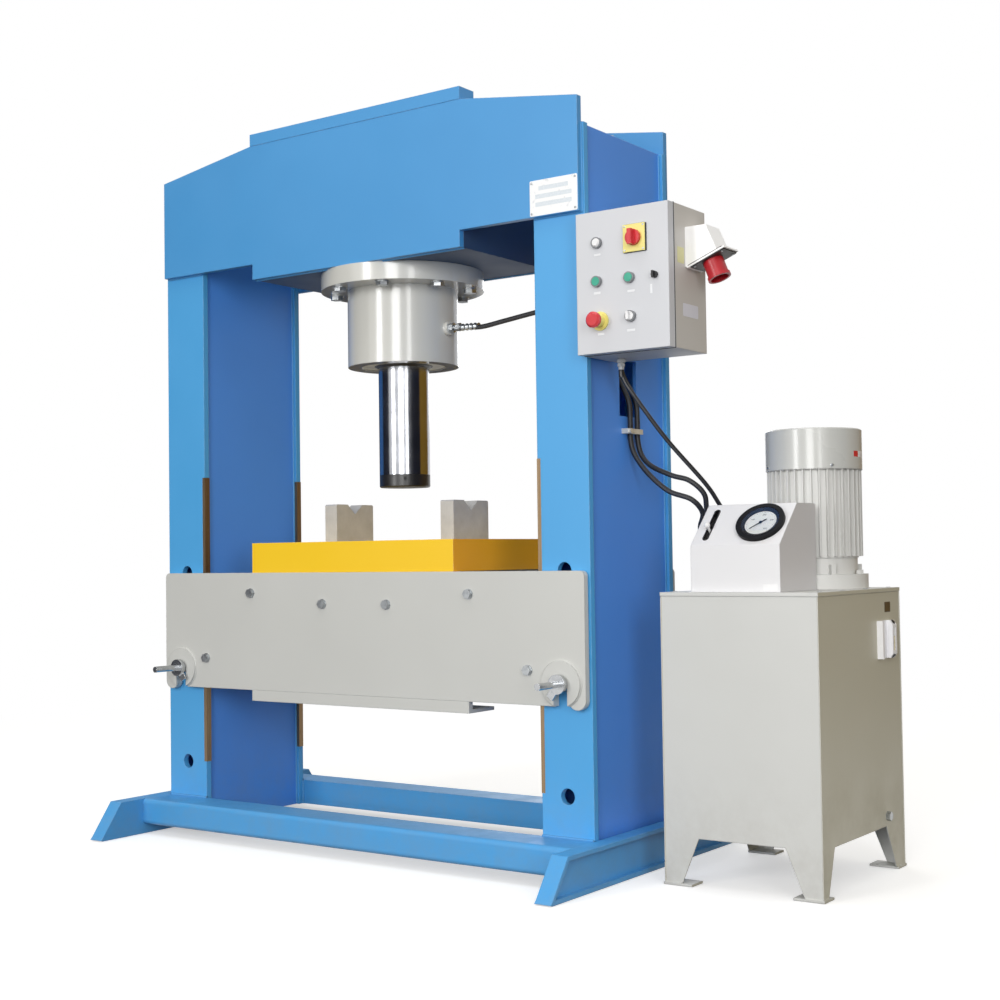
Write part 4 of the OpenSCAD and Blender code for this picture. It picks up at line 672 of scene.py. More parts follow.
def machined(name, colour, deep, roughness, lay, metallic=1.0):
    """Cut, ground or plated metal: lay gives how many tool marks pass a metre along x, y and z."""
    material, tree = blank(name)
    place = add(tree, "ShaderNodeTexCoord").outputs["Object"]
    rounded = add(tree, "ShaderNodeBevel", {"Radius": 0.0012}, samples=4)
    drawn = add(tree, "ShaderNodeMapping", {"Vector": place, "Scale": lay})
    mark = add(tree, "ShaderNodeTexNoise",
               {"Vector": drawn, "Scale": 1.0, "Detail": 3.0, "Roughness": 0.6})
    stain = add(tree, "ShaderNodeTexNoise",
                {"Vector": place, "Scale": 18.0, "Detail": 5.0, "Roughness": 0.65})
    tone = add(tree, "ShaderNodeMix", {0: mark, 6: linear(deep), 7: linear(colour)}, data_type="RGBA")
    shade = add(tree, "ShaderNodeMapRange", {"Value": stain, "From Min": 0.3, "From Max": 0.7,
                                             "To Min": 0.88, "To Max": 1.06})
    tone = add(tree, "ShaderNodeHueSaturation", {"Color": tone, "Value": shade})
    rough = add(tree, "ShaderNodeMapRange", {"Value": stain, "From Min": 0.3, "From Max": 0.7,
                                             "To Min": roughness * 0.8, "To Max": roughness * 1.25})
    cut = add(tree, "ShaderNodeBump",
              {"Height": mark, "Strength": 0.5, "Distance": 0.00006, "Normal": rounded})
    metal = add(tree, "ShaderNodeBsdfPrincipled",
                {"Base Color": tone, "Metallic": metallic, "Roughness": rough, "Normal": cut})
    add(tree, "ShaderNodeOutputMaterial", {"Surface": metal})
    return material


# Turned bearing steel for the piston: fine rings from the lathe tool, 1.25 mm apart. The gland is cast
# iron, turned the same way and filmed with oil; its pale, hardly metallic tone is a painted reflection of
# the light floor beneath it.
turned_steel = machined("turned bearing steel", "#b9b8b3", "#8f8e8a", 0.3, (40.0, 40.0, 800.0))
wear_it(turned_steel, "piston")
gland_iron_painted_light = machined("turned cast iron gland, painted pale as a reflection", "#dcdace", "#c6c3b4", 0.35, (40.0, 40.0, 800.0),
                      metallic=0.2)
wear_it(gland_iron_painted_light, "rod_gland")
wear_it(zinc_plate, "flange_bolts", "hydraulic_fittings", "return_pipe")

# Hard washers lie under the eight bolt heads.
flange_low_z, bolt_circle, bolt_count = 1.688, 0.215, 8
bolt_turns = [2 * math.pi * (k + 0.5) / bolt_count for k in range(bolt_count)]
heads("flange_bolt_washers", "frame", [
    (bolt_circle * math.cos(a), bolt_circle * math.sin(a), flange_low_z - 0.0012) for a in bolt_turns],
    (0, 0, -1), across=0.034, tall=0.001, washer=0.044)


def turned_ring(name, body, place, profile, finish, turns=96):
    """A ring turned about its axis from a closed outline of (radius, height) points, then put in place."""
    n = len(profile)
    points = [place @ Vector((r * math.cos(a), r * math.sin(a), z))
              for a in (2 * math.pi * k / turns for k in range(turns)) for r, z in profile]
    faces = [(k * n + j, (k + 1) % turns * n + j, (k + 1) % turns * n + (j + 1) % n, k * n + (j + 1) % n)
             for k in range(turns) for j in range(n)]
    piece = mesh_piece(name, points, faces, finish)
    tidy = bmesh.new()
    tidy.from_mesh(piece.data)
    bmesh.ops.recalc_face_normals(tidy, faces=tidy.faces)
    tidy.to_mesh(piece.data)
    tidy.free()
    for face in piece.data.polygons:
        face.use_smooth = True
    piece.data.set_sharp_from_angle(angle=math.radians(35))
    fit(piece, body)


# The rod wiper: a black nitrile ring pressed into the gland round the ram, with a thin scraping lip.
nitrile, tree = blank("black moulded nitrile")
place = add(tree, "ShaderNodeTexCoord").outputs["Object"]
bloom = add(tree, "ShaderNodeTexNoise", {"Vector": place, "Scale": 60.0, "Detail": 4.0})
tone = add(tree, "ShaderNodeMix", {0: bloom, 6: linear("#111113"), 7: linear("#2a2a2d")}, data_type="RGBA")
rough = add(tree, "ShaderNodeMapRange", {"Value": bloom, "To Min": 0.35, "To Max": 0.6})
rubber = add(tree, "ShaderNodeBsdfPrincipled", {"Base Color": tone, "Roughness": rough, "IOR": 1.52})
add(tree, "ShaderNodeOutputMaterial", {"Surface": rubber})
gland_face = Matrix.Translation((0, 0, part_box("rod_gland")[0][2]))
ram_gap, wiper_groove = 0.0784, 0.09
turned_ring("rod_wiper", "frame", gland_face,
            [(ram_gap, -0.007), (0.081, -0.006), (0.086, -0.001), (wiper_groove, -0.001),
             (wiper_groove, 0.004), (ram_gap, 0.004)], nitrile)

# The hose clip is pressed from white-passivated strip; one hexagon bolt draws its halves together.
clip_strip = machined("white-passivated steel strip", "#eceae4", "#d8d4c4", 0.34, (50.0, 50.0, 300.0),
                      metallic=0.35)
wear_it(clip_strip, "hose_clip")


# ---------------------------------------------------------------- ram
# The ram is ground bar, hard-chromed and polished; a blackened steel nose screws into its end.
# Chrome gives sharp upright reflections with faint rings from the grinder, 2 mm apart.
hard_chrome, tree = blank("polished hard chrome")
place = add(tree, "ShaderNodeTexCoord").outputs["Object"]
rings = add(tree, "ShaderNodeMapping", {"Vector": place, "Scale": (6.0, 6.0, 500.0)})
fine = add(tree, "ShaderNodeTexNoise", {"Vector": rings, "Scale": 1.0, "Detail": 2.0})
film = add(tree, "ShaderNodeTexNoise", {"Vector": place, "Scale": 12.0, "Detail": 4.0})
rough = add(tree, "ShaderNodeMapRange", {"Value": film, "From Min": 0.35, "From Max": 0.7,
                                         "To Min": 0.13, "To Max": 0.22})
relief = add(tree, "ShaderNodeBump", {"Height": fine, "Strength": 0.12, "Distance": 0.00005})
tone = add(tree, "ShaderNodeMix", {0: film, 6: linear("#a2a4aa"), 7: linear("#b8babf")}, data_type="RGBA")
chrome = add(tree, "ShaderNodeBsdfPrincipled",
             {"Base Color": tone, "Metallic": 1.0, "Roughness": rough, "Normal": relief})
add(tree, "ShaderNodeOutputMaterial", {"Surface": chrome})
wear_it(hard_chrome, "ram")

# Black oxide on turned steel: nearly black, satin, with paler rubbed spots.
black_oxide, tree = blank("black oxide on turned steel")
place = add(tree, "ShaderNodeTexCoord").outputs["Object"]
rounded = add(tree, "ShaderNodeBevel", {"Radius": 0.0015}, samples=4)
rub = add(tree, "ShaderNodeTexNoise", {"Vector": place, "Scale": 30.0, "Detail": 5.0})
tone = add(tree, "ShaderNodeMix", {0: rub, 6: linear("#0b0b0e"), 7: linear("#1f1e20")}, data_type="RGBA")
rough = add(tree, "ShaderNodeMapRange", {"Value": rub, "To Min": 0.3, "To Max": 0.42})
oxide = add(tree, "ShaderNodeBsdfPrincipled", {"Base Color": tone, "Roughness": rough, "Normal": rounded,
                                               "Coat Weight": 0.15, "Coat Roughness": 0.2})
add(tree, "ShaderNodeOutputMaterial", {"Surface": oxide})
wear_it(black_oxide, "ram_nose")

# A socket set screw keeps the nose on its thread; it sits 1.5 mm below the surface.
turn, screw_deep = math.radians(-50), 0.0645
out = (math.cos(turn), math.sin(turn), 0)
screw_at = (screw_deep * out[0], screw_deep * out[1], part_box("ram_nose")[0][2] + 0.025)
heads("nose_set_screw", "ram", [screw_at], out, across=0.0096, tall=0.012, sides=24,
      crown=0.92, socket=0.5, finish=black_oxide)


# ---------------------------------------------------------------- bed
# Two deep side plates, joined below by tie bars and inside by bolted spacers, ride on two pins.
# They are laser-cut from 20 mm plate and sprayed light grey; the bolts are zinc-plated.
bed_enamel = enamel("light grey semi-gloss enamel on plate", "#cccdca", "#c4c5c2", roughness=0.38, wear=0.2,
                    soil=0.12)
wear_it(bed_enamel, "bed_plates", "bed_tie_bars")
wear_it(zinc_plate, "bed_bolts")
wear_it(turned_steel, "bed_spacers")

# The bolster is one thick planed plate in warm yellow enamel.
# Its ends, which look along x, are painted a deeper orange: painted shade.
bolster_enamel = enamel("golden yellow enamel on a planed plate", "#fdd228", "#f8c71f", roughness=0.33,
                        wear=0.3, soil=0.15, ends="#ffb11c")
wear_it(bolster_enamel, "bolster_plate")

# V-blocks of bare milled steel: a dull warm grey with fine parallel cutter marks.
milled_steel = machined("milled bare steel", "#c7c6c5", "#b4b3b2", 0.5, (900.0, 30.0, 30.0), metallic=0.1)
wear_it(milled_steel, "v_blocks")

# Ground bright bar for the pins: brighter, with rings from the lathe across the axis.
pin_steel = machined("ground bright bar", "#cfd1d3", "#a7a9ab", 0.2, (30.0, 700.0, 30.0))
wear_it(pin_steel, "pin_left", "pin_right")

# Fillet welds run round the pin bosses, and stop at the plate's lower edge.
bed_low, bed_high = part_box("bed_plates")
pin_x, pin_z, boss_radius, boss_thick = 0.7275, 0.524, 0.062, 0.008
face_y = bed_high[1] - boss_thick
boss_arc = []
for bearing in range(-68, 249, 6):
    x = pin_x + boss_radius * math.cos(math.radians(bearing))
    z = pin_z + boss_radius * math.sin(math.radians(bearing))
    if x > pin_x or z > bed_low[2] + 0.002:
        boss_arc.append((x, z))
boss_seams = [[(side * x, end * face_y, z) for x, z in boss_arc] for side in both for end in both]
weld("bed_welds", "bed", boss_seams, bed_enamel, leg=0.004)

# Plain washers lie under the six bolt heads at the front, and under the nuts at the back.
bolts = [(side * x, z) for side in both for x, z in ((0.421, 0.763), (0.124, 0.7315), (0.6185, 0.557))]
for word, out in (("front", -1), ("rear", 1)):
    heads(f"bed_bolt_washers_{word}", "bed", [
        (x, out * (face_y + 0.0012), z) for x, z in bolts],
        (0, out, 0), across=0.024, tall=0.001, washer=0.03)


# ---------------------------------------------------------------- control cabinet
# A folded sheet-steel box with a hinged door, powder-coated light grey; it hangs on the right column.
# The coat is baked on as powder, which leaves a fine even texture.
powder_coat = enamel("light grey textured powder coat", "#d3d5da", "#cbcdd2", roughness=0.44, wear=0.1,
                     soil=0.05, grain=0.0022, relief=0.0001)
# The box's sides take a warmer, darker copy of the door's powder coat: painted shade.
side_coat_painted_shade = enamel("light grey textured powder coat, painted warm grey as shade", "#cfccc8", "#c6c3be", roughness=0.46, wear=0.12,
                   soil=0.08, grain=0.0022, relief=0.0001)
wear_it(side_coat_painted_shade, "cabinet_box")
wear_it(powder_coat, "cabinet_door")
box_low, box_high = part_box("cabinet_box")
left_x, right_x, back_y = outer_x, box_high[0], box_high[1]


def moulded(name, colour, roughness, deep=None, ior=1.5):
    """Injection-moulded plastic: even colour with a faint cloud, a light grain and a soft sheen."""
    material, tree = blank(name)
    place = add(tree, "ShaderNodeTexCoord").outputs["Object"]
    rounded = add(tree, "ShaderNodeBevel", {"Radius": 0.0008}, samples=4)
    cloud = add(tree, "ShaderNodeTexNoise", {"Vector": place, "Scale": 40.0, "Detail": 3.0})
    tone = add(tree, "ShaderNodeMix", {0: cloud, 6: linear(deep or colour), 7: linear(colour)},
               data_type="RGBA")
    rough = add(tree, "ShaderNodeMapRange",
                {"Value": cloud, "To Min": roughness - 0.06, "To Max": roughness + 0.08})
    grain = add(tree, "ShaderNodeTexNoise", {"Vector": place, "Scale": 900.0, "Detail": 1.0})
    skin = add(tree, "ShaderNodeBump",
               {"Height": grain, "Strength": 0.4, "Distance": 0.00006, "Normal": rounded})
    plastic = add(tree, "ShaderNodeBsdfPrincipled",
                  {"Base Color": tone, "Roughness": rough, "Normal": skin, "IOR": ior})
    add(tree, "ShaderNodeOutputMaterial", {"Surface": plastic})
    return material


# Control-gear plastics: glossy coloured ABS for the operators, glass-filled nylon for the rest.
red_abs = moulded("glossy red ABS", "#d8323a", 0.24, "#c92a33")
green_abs = moulded("glossy green ABS", "#3aae92", 0.24, "#2f9f84")
yellow_abs = moulded("pale yellow ABS", "#efe58c", 0.32, "#e6da78")
white_abs = moulded("glossy white ABS", "#f1f1f2", 0.25, "#e7e8ea")
black_nylon = moulded("black glass-filled nylon", "#1d1d20", 0.42, "#151517")
dark_grey_abs = moulded("satin grey ABS", "#86898d", 0.4, "#75787c")
wear_it(red_abs, "main_switch_knob", "estop_head")
wear_it(green_abs, "start_button", "pump_button")
wear_it(yellow_abs, "main_switch_plate", "estop_collar")
wear_it(white_abs, "pilot_lamp", "selector_knob")
wear_it(dark_grey_abs, "button_collars")
wear_it(black_nylon, "door_lock", "filler_cap")

# A thin rubber seal is pushed over the box's front lip, and shows as a dark line round the door.
lip_y, lip_in, lip_from = box_low[1] + 0.0003, 0.0004, left_x + 0.004
lip = [(lip_from, lip_y, box_high[2] + lip_in), (right_x + lip_in, lip_y, box_high[2] + lip_in),
       (right_x + lip_in, lip_y, box_low[2] - lip_in), (lip_from, lip_y, box_low[2] - lip_in)]
fit(tube("cabinet_lip_seal", lip, 0.0014, nitrile, sides=8), "frame")

# The main switch sits on a black frame, which four screws hold to the door.
door_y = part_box("cabinet_door")[0][1]
switch_x, switch_z = left_x + 0.181, box_low[2] + 0.290
thin_plate("main_switch_frame", "cabinet_door", (switch_x, door_y, switch_z), facing_front,
           0.0672, 0.0742, 0.0066, black_nylon, corner=0.003)
heads("main_switch_screws", "cabinet_door", [
    (switch_x + sx * 0.0275, door_y - 0.008, switch_z + sz * 0.031) for sx in both for sz in both],
    (0, -1, 0), across=0.0052, tall=0.0011, sides=20, crown=0.8, socket=0.35)

# Blank white legend plates are stuck on the door under each control, one of them upright by the lock.
legend_vinyl = moulded("pale satin vinyl legend", "#eceef1", 0.4, "#e6e8ec")
for name, x, z, wide, tall in (
        ("lamp", 0.875, 1.656, 0.02, 0.006), ("start", 0.873, 1.555, 0.021, 0.007),
        ("pump", 0.976, 1.550, 0.022, 0.006), ("lock", 1.036, 1.549, 0.006, 0.024),
        ("estop", 0.883, 1.446, 0.02, 0.006), ("selector", 0.974, 1.448, 0.024, 0.006)):
    thin_plate(f"legend_{name}", "cabinet_door", (x, door_y, z), facing_front,
               wide, tall, 0.0004, legend_vinyl, corner=0.0015)

# Two plain labels on the right side: a small cream one by the inlet and a pale one lower down.
cream_vinyl = moulded("cream vinyl label", "#dcd9a6", 0.4, "#d2ce96")
pale_vinyl = moulded("pale grey vinyl label", "#e4e5ee", 0.4, "#dadbe6")
thin_plate("side_label_upper", "frame", (right_x, -0.206, 1.639), facing_right,
           0.036, 0.042, 0.0003, cream_vinyl)
thin_plate("side_label_lower", "frame", (right_x, -0.157, 1.499), facing_right,
           0.082, 0.034, 0.0003, pale_vinyl)

# Inside, slotted trunking frames a zinc-plated steel panel, which stands on spacers.
panel_zinc = machined("dull galvanised sheet", "#a4a8ab", "#8c9194", 0.55, (30.0, 30.0, 30.0), metallic=0.5)
wear_it(panel_zinc, "electrical_plate")
duct_grey = moulded("grey PVC wiring duct", "#b9bcc0", 0.5, "#aeb1b5")
gear_cream = moulded("light grey thermoplastic gear", "#d7d8d4", 0.45, "#cccdc9")
box_sheet, spacer, panel_thick = 0.002, 0.006, 0.003
panel_y = back_y - box_sheet - spacer - panel_thick
duct_x, duct_wide, duct_deep, slot_pitch = (left_x + right_x) / 2, 0.236, 0.04, 0.01
painted_shade_slots = int(duct_wide / slot_pitch) - 1
for name, z, tall in (("top", 1.735, 0.025), ("low", 1.570, 0.025), ("base", 1.425, 0.02)):
    thin_plate(f"wiring_duct_{name}", "frame", (duct_x, panel_y, z), facing_front,
               duct_wide, tall, duct_deep, duct_grey, corner=0.001)
    # Each slot is a small black pad on the duct's edge: painted shade, for the dark inside its opening.
    for edge, word in ((-1, "lower"), (1, "upper")):
        heads(f"wiring_duct_{name}_slots_{word}", "frame", [
            (duct_x + (k - (painted_shade_slots - 1) / 2) * slot_pitch, panel_y - duct_deep * 0.55,
             z + edge * (tall / 2 - 0.0002)) for k in range(painted_shade_slots)],
            (0, 0, edge), across=0.005, tall=0.0005, sides=4, crown=0.9, finish=black_nylon)

# Three contactors of three poles each are clipped on, above a relay and a transformer.
unit_y, unit_top, unit_low = panel_y + panel_thick - 0.082, 1.711, 1.631
first_x, unit_pitch, pole_pitch = left_x + 0.0625, 0.054, 0.013
for k in range(3):
    thin_plate(f"contactor_face_{k + 1}", "frame",
               (first_x + unit_pitch * k, unit_y, (unit_top + unit_low) / 2), facing_front,
               0.041, 0.05, 0.006, gear_cream, corner=0.003)
poles = [first_x + unit_pitch * k + pole_pitch * c for k in range(3) for c in (-1, 0, 1)]
heads("contactor_screws", "frame", [
    (x, unit_y, z) for x in poles for z in (unit_top - 0.007, unit_low + 0.007)],
    (0, -1, 0), across=0.007, tall=0.0012, sides=20, crown=0.85, socket=0.4)

# A single-core wire runs from each pole up into the top trunking, and another down into the next one.
wire_colours = [moulded("black PVC wire", "#1a1a1c", 0.4), moulded("red PVC wire", "#b33434", 0.4),
                moulded("blue PVC wire", "#2f55a8", 0.4)]
wire_top, wire_low, duct_above, duct_below = unit_top - 0.001, unit_low + 0.001, 1.7225, 1.5825
wire_ways = (("upper", 1, [(unit_y + 0.006, wire_top), (unit_y + 0.008, wire_top + 0.006),
                           (unit_y + 0.03, duct_above + 0.001),
                           (panel_y - duct_deep * 0.6, duct_above + 0.003)]),
             ("lower", -1, [(unit_y + 0.006, wire_low), (unit_y + 0.012, wire_low - 0.02),
                            (panel_y - duct_deep * 0.7, duct_below + 0.012),
                            (panel_y - duct_deep * 0.6, duct_below - 0.003)]))
for k, x in enumerate(poles):
    for end, way, stops in wire_ways:
        line = route_line([(x, y, z) for y, z in stops], (0, 0, way), (0, 0, way), steps=4)
        fit(tube(f"wire_{end}_{k + 1}", line, 0.0014, wire_colours[k % 3], sides=8), "frame")


# ---------------------------------------------------------------- power inlet
# A moulded wedge on the cabinet's side carries a five-pin supply inlet that points down and out. A
# black gasket lies between the wedge and its tilted base, and four screws go in from below.
tilt = math.radians(21.5)
slope = Vector((math.cos(tilt), 0, math.sin(tilt)))
stand_off = Vector((-math.sin(tilt), 0, math.cos(tilt)))
base_at = Vector((right_x + 0.005, -0.143, box_low[2] + 0.213))
inlet_white = moulded("brilliant white moulded nylon", "#fdfdfd", 0.3, "#f8f8f8")
wear_it(inlet_white, "inlet_housing")
thin_plate("inlet_gasket", "frame", base_at + slope * 0.056 + stand_off * 0.003,
           (slope, (0, 1, 0)), 0.108, 0.079, 0.0022, nitrile)
thin_plate("inlet_gasket_lower", "frame", base_at + slope * 0.06 - stand_off * 0.002,
           (-slope, (0, 1, 0)), 0.104, 0.078, 0.003, black_nylon)
heads("inlet_base_screws", "frame", [
    base_at + slope * a + Vector((0, b, 0)) - stand_off * 0.005
    for a in (0.018, 0.102) for b in (-0.031, 0.031)],
    -stand_off, across=0.007, tall=0.002, sides=20, crown=0.75, socket=0.35)

# The socket is red nylon, and its five pins are nickel-plated brass.
red_nylon = moulded("red glass-filled nylon", "#c2222c", 0.32, "#a81a26")
wear_it(red_nylon, "inlet_socket")
nickel = machined("nickel-plated brass", "#c9c4b4", "#a9a493", 0.25, (60.0, 60.0, 60.0))
socket_at = base_at + slope * 0.058 - stand_off * 0.00205
pin_circle = 0.013
for k in range(5):
    turn = math.radians(36 + 72 * k)
    foot = socket_at + slope * pin_circle * math.cos(turn) - Vector((0, pin_circle * math.sin(turn), 0))
    pin = tube(f"inlet_pin_{k + 1}", [foot - stand_off * d for d in (0.0115, 0.02, 0.0315)], 0.0034, nickel)
    fit(pin, "frame")
gland_nylon = moulded("light grey nylon", "#c9cccf", 0.38, "#bcc0c3")
wear_it(gland_nylon, "cable_glands")


# ---------------------------------------------------------------- oil tank
# A tank folded and welded from 3 mm sheet, standing on four legs cut from the same sheet, with a
# loose 10 mm lid plate under eight screws. It is sprayed a light grey much like the bed's.
# Its sides, which look along x, are painted darker and warmer: painted shade.
tank_enamel = enamel("light grey enamel on folded sheet", "#d2d3d1", "#c8c9c6", roughness=0.42, wear=0.2,
                     soil=0.3, ends="#c2beac")
wear_it(tank_enamel, "tank_body", "tank_lid")
wear_it(turned_steel, "pump_body")
lid_low, lid_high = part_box("tank_lid")
overhang, pad_top = 0.002, 0.006
tank_left, tank_right = lid_low[0] + overhang, lid_high[0] - overhang
tank_front, tank_back = lid_low[1] + overhang, lid_high[1] - overhang
lid_top = lid_high[2]
corners = [(sx, sy, x, y) for sx, x in ((-1, tank_left), (1, tank_right))
           for sy, y in ((-1, tank_front), (1, tank_back))]
weld("tank_corner_welds", "frame", [
    [(x, y, pad_top + 0.002), (x, y, lid_low[2] - 0.001)] for sx, sy, x, y in corners],
    tank_enamel, leg=0.0022)
weld("leg_pad_welds", "frame", [
    seam for sx, sy, x, y in corners for seam in (
        [(x, y, pad_top), (x - sx * 0.048, y, pad_top)],
        [(x, y, pad_top), (x, y - sy * 0.031, pad_top)])], tank_enamel, leg=0.003)
heads("lid_screws", "frame", [
    (x, y, lid_top + 0.0012) for x in (tank_left + 0.016, tank_right - 0.016)
    for y in (tank_front + 0.05, tank_front + 0.2, tank_back - 0.2, tank_back - 0.035)],
    (0, 0, 1), across=0.013, tall=0.0008, sides=20, crown=0.96, socket=0.5)
wear_it(zinc_plate, "drain_plug")

# The level gauge has a moulded white body, with a guard rib before its sight column.
gauge_white = moulded("brilliant white moulded acetal", "#fcfcfe", 0.25, "#f6f6fa")
wear_it(gauge_white, "level_gauge")
gauge_low, gauge_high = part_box("level_gauge")
column_y, sight_x = gauge_high[1] - 0.015, gauge_high[0] - 0.0045

# The column is clear acrylic: pale oil fills it to 0.636 m above the floor, and air is above that.
oil_level = 0.636
oil_glass, tree = blank("pale oil behind clear acrylic")
place = add(tree, "ShaderNodeTexCoord").outputs["Object"]
height = add(tree, "ShaderNodeSeparateXYZ", {0: place}).outputs["Z"]
filled = add(tree, "ShaderNodeMapRange",
             {"Value": height, "From Min": oil_level, "From Max": oil_level + 0.0005})
film = add(tree, "ShaderNodeTexNoise", {"Vector": place, "Scale": 120.0, "Detail": 2.0})
oil = add(tree, "ShaderNodeMix", {0: film, 6: linear("#d9cfae"), 7: linear("#e2d9bd")}, data_type="RGBA")
tone = add(tree, "ShaderNodeMix", {0: filled, 6: oil, 7: linear("#eceef2")}, data_type="RGBA")
acrylic = add(tree, "ShaderNodeBsdfPrincipled", {"Base Color": tone, "Roughness": 0.08, "IOR": 1.49,
                                                 "Coat Weight": 1.0, "Coat Roughness": 0.03})
add(tree, "ShaderNodeOutputMaterial", {"Surface": acrylic})
sight = tube("sight_tube", [(sight_x, column_y, gauge_low[2] + d) for d in (0.019, 0.051, 0.083)], 0.0045,
             oil_glass, sides=20)
fit(sight, "frame")

# A black nut holds each end of the column, and above it sits a small dark bronze plate, blank.
black_screw = machined("blackened alloy steel screw", "#3a3a3d", "#27272a", 0.35, (60.0, 60.0, 60.0))
nut_lean, slanted = 0.0058, 0.71
for word, end, z in (("lower", -1, gauge_low[2] + nut_lean), ("upper", 1, gauge_high[2] - nut_lean)):
    heads(f"level_gauge_nut_{word}", "frame", [(gauge_high[0] - nut_lean, column_y, z)],
          (slanted, 0, slanted * end), across=0.014, tall=0.004, crown=0.85, finish=black_screw)
bronze_plate = enamel("dark bronze lacquer on thin plate", "#5a4a30", "#463822", roughness=0.4, wear=0.1,
                      soil=0.0)
thin_plate("tank_plate", "frame", (tank_right, column_y, 0.7145), facing_right,
           0.04, 0.028, 0.0008, bronze_plate, corner=0.002)


# ---------------------------------------------------------------- gauge housing
# A desk-shaped cover folded from 2 mm sheet in satin white, over the hand valve. Its lever comes up
# through a black-trimmed slot.
# Its sides, which look along x, are painted a darker grey: painted shade.
housing_enamel = enamel("satin white enamel on folded sheet", "#e6e6e8", "#dedee1", roughness=0.4, wear=0.1,
                        soil=0.1, ends="#d2d1d3")
wear_it(housing_enamel, "control_housing")
wear_it(turned_steel, "valve_block")
wear_it(white_abs, "control_lever")
case_low, case_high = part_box("control_housing")
thin_plate("housing_label", "frame", (case_high[0] - 0.027, case_low[1], lid_top + 0.0125),
           facing_front, 0.042, 0.017, 0.0005, white_abs, corner=0.002)

# The slanted panel's own axes: x to the right, y up the slant, z out of it.
panel_run, panel_low_z, panel_high_z = 0.11, 0.122, 0.23
panel_tilt = math.atan2(panel_high_z - panel_low_z, panel_run)
panel_at = Vector((0, case_low[1] + panel_run / 2, lid_top + (panel_low_z + panel_high_z) / 2))
panel = Matrix.Translation(panel_at) @ Matrix.Rotation(panel_tilt, 4, "X")


def slot_trim(name, centre_x, half_wide, half_long, rim, thick, finish, steps=8):
    """A flat moulded frame with round ends that lines a slot in the slanted panel."""
    def outline(grow):
        r = half_wide + grow
        return [(r * math.cos(a + math.pi * k / steps),
                 end * (half_long - half_wide) + r * math.sin(a + math.pi * k / steps))
                for end, a in ((1, 0), (-1, math.pi)) for k in range(steps + 1)]
    inner, outer = outline(0.0), outline(rim)
    n = len(inner)
    layers = [(outer, 0.0), (outer, thick), (inner, thick), (inner, -0.003)]
    points = [panel @ Vector((centre_x + x, y, z)) for shape, z in layers for x, y in shape]
    faces = [(r * n + k, r * n + (k + 1) % n, (r + 1) % 4 * n + (k + 1) % n, (r + 1) % 4 * n + k)
             for r in range(4) for k in range(n)]
    fit(mesh_piece(name, points, faces, finish), "frame")


slot_trim("lever_slot_trim", case_low[0] + 0.035, half_wide=0.0055, half_long=0.055, rim=0.0035,
          thick=0.0007, finish=black_nylon)


# ---------------------------------------------------------------- pressure gauge
# A bourdon-tube gauge: black steel case with a wide sloping ring, a white enamelled dial printed with
# a plain scale, a needle on a spindle, and a glass held in the ring.
gauge_black = moulded("black stoved enamel on pressed steel", "#09090b", 0.45, "#060608", ior=1.3)
wear_it(gauge_black, "gauge_case", "gauge_needle")
ring_black = moulded("matt black stoved enamel on a spun ring", "#0c0a12", 0.5, "#08070d", ior=1.28)
dial_white = moulded("white stoved enamel dial", "#f3f3f1", 0.4, "#eeeeea")
dial_black = moulded("black printing ink", "#1b1b1d", 0.5)
dial_place = panel @ Matrix.Translation((case_high[0] - 0.0765, 0, 0))
dial_radius, dial_foot, dial_z = 0.043, 0.0028, 0.0036


def disc(name, body, place, radius, low, high, finish, turns=96):
    """A flat round plate, put in its place."""
    ring = [(radius * math.cos(2 * math.pi * k / turns), radius * math.sin(2 * math.pi * k / turns))
            for k in range(turns)]
    points = [place @ Vector((x, y, z)) for z in (low, high) for x, y in ring]
    faces = [(k, (k + 1) % turns, turns + (k + 1) % turns, turns + k) for k in range(turns)]
    faces += [tuple(range(turns - 1, -1, -1)), tuple(range(turns, 2 * turns))]
    fit(mesh_piece(name, points, faces, finish), body)


turned_ring("gauge_ring", "frame", dial_place,
            [(0.0545, dial_foot), (dial_radius, dial_foot), (dial_radius, 0.0046), (0.0535, 0.0108),
             (0.0545, 0.0112), (0.0555, 0.0108)], ring_black)
disc("gauge_dial", "frame", dial_place, dial_radius + 0.002, dial_foot, dial_z, dial_white)

# Marks stand on an arc round the dial's middle, each of them a thin bar that points to it.
mark_tree, given = growth_tree("marks round a dial", Count=("Int", 41), Radius=("Float", 0.04),
                               Long=("Float", 0.003), Wide=("Float", 0.0005), Thick=("Float", 0.0001),
                               Start=("Float", 0.0), Sweep=("Float", 4.7), Finish=("Material", None))
arc = add(mark_tree, "GeometryNodeCurveArc",
          {"Resolution": given["Count"], "Radius": given["Radius"], "Start Angle": given["Start"],
           "Sweep Angle": given["Sweep"]}, mode="RADIUS")
spots = add(mark_tree, "GeometryNodeCurveToPoints", {"Curve": arc}, mode="EVALUATED")
size = add(mark_tree, "ShaderNodeCombineXYZ", {0: given["Wide"], 1: given["Long"], 2: given["Thick"]})
mark = add(mark_tree, "GeometryNodeMeshCube", {"Size": size})
index = add(mark_tree, "GeometryNodeInputIndex")
steps_left = add(mark_tree, "ShaderNodeMath", {0: given["Count"], 1: 1.0}, operation="SUBTRACT")
share = add(mark_tree, "ShaderNodeMath", {0: index, 1: steps_left}, operation="DIVIDE")
swing = add(mark_tree, "ShaderNodeMath", {0: share, 1: given["Sweep"]}, operation="MULTIPLY")
swing = add(mark_tree, "ShaderNodeMath", {0: swing, 1: given["Start"]}, operation="ADD")
swing = add(mark_tree, "ShaderNodeMath", {0: swing, 1: math.pi / 2}, operation="SUBTRACT")
facing = add(mark_tree, "ShaderNodeCombineXYZ", {2: swing})
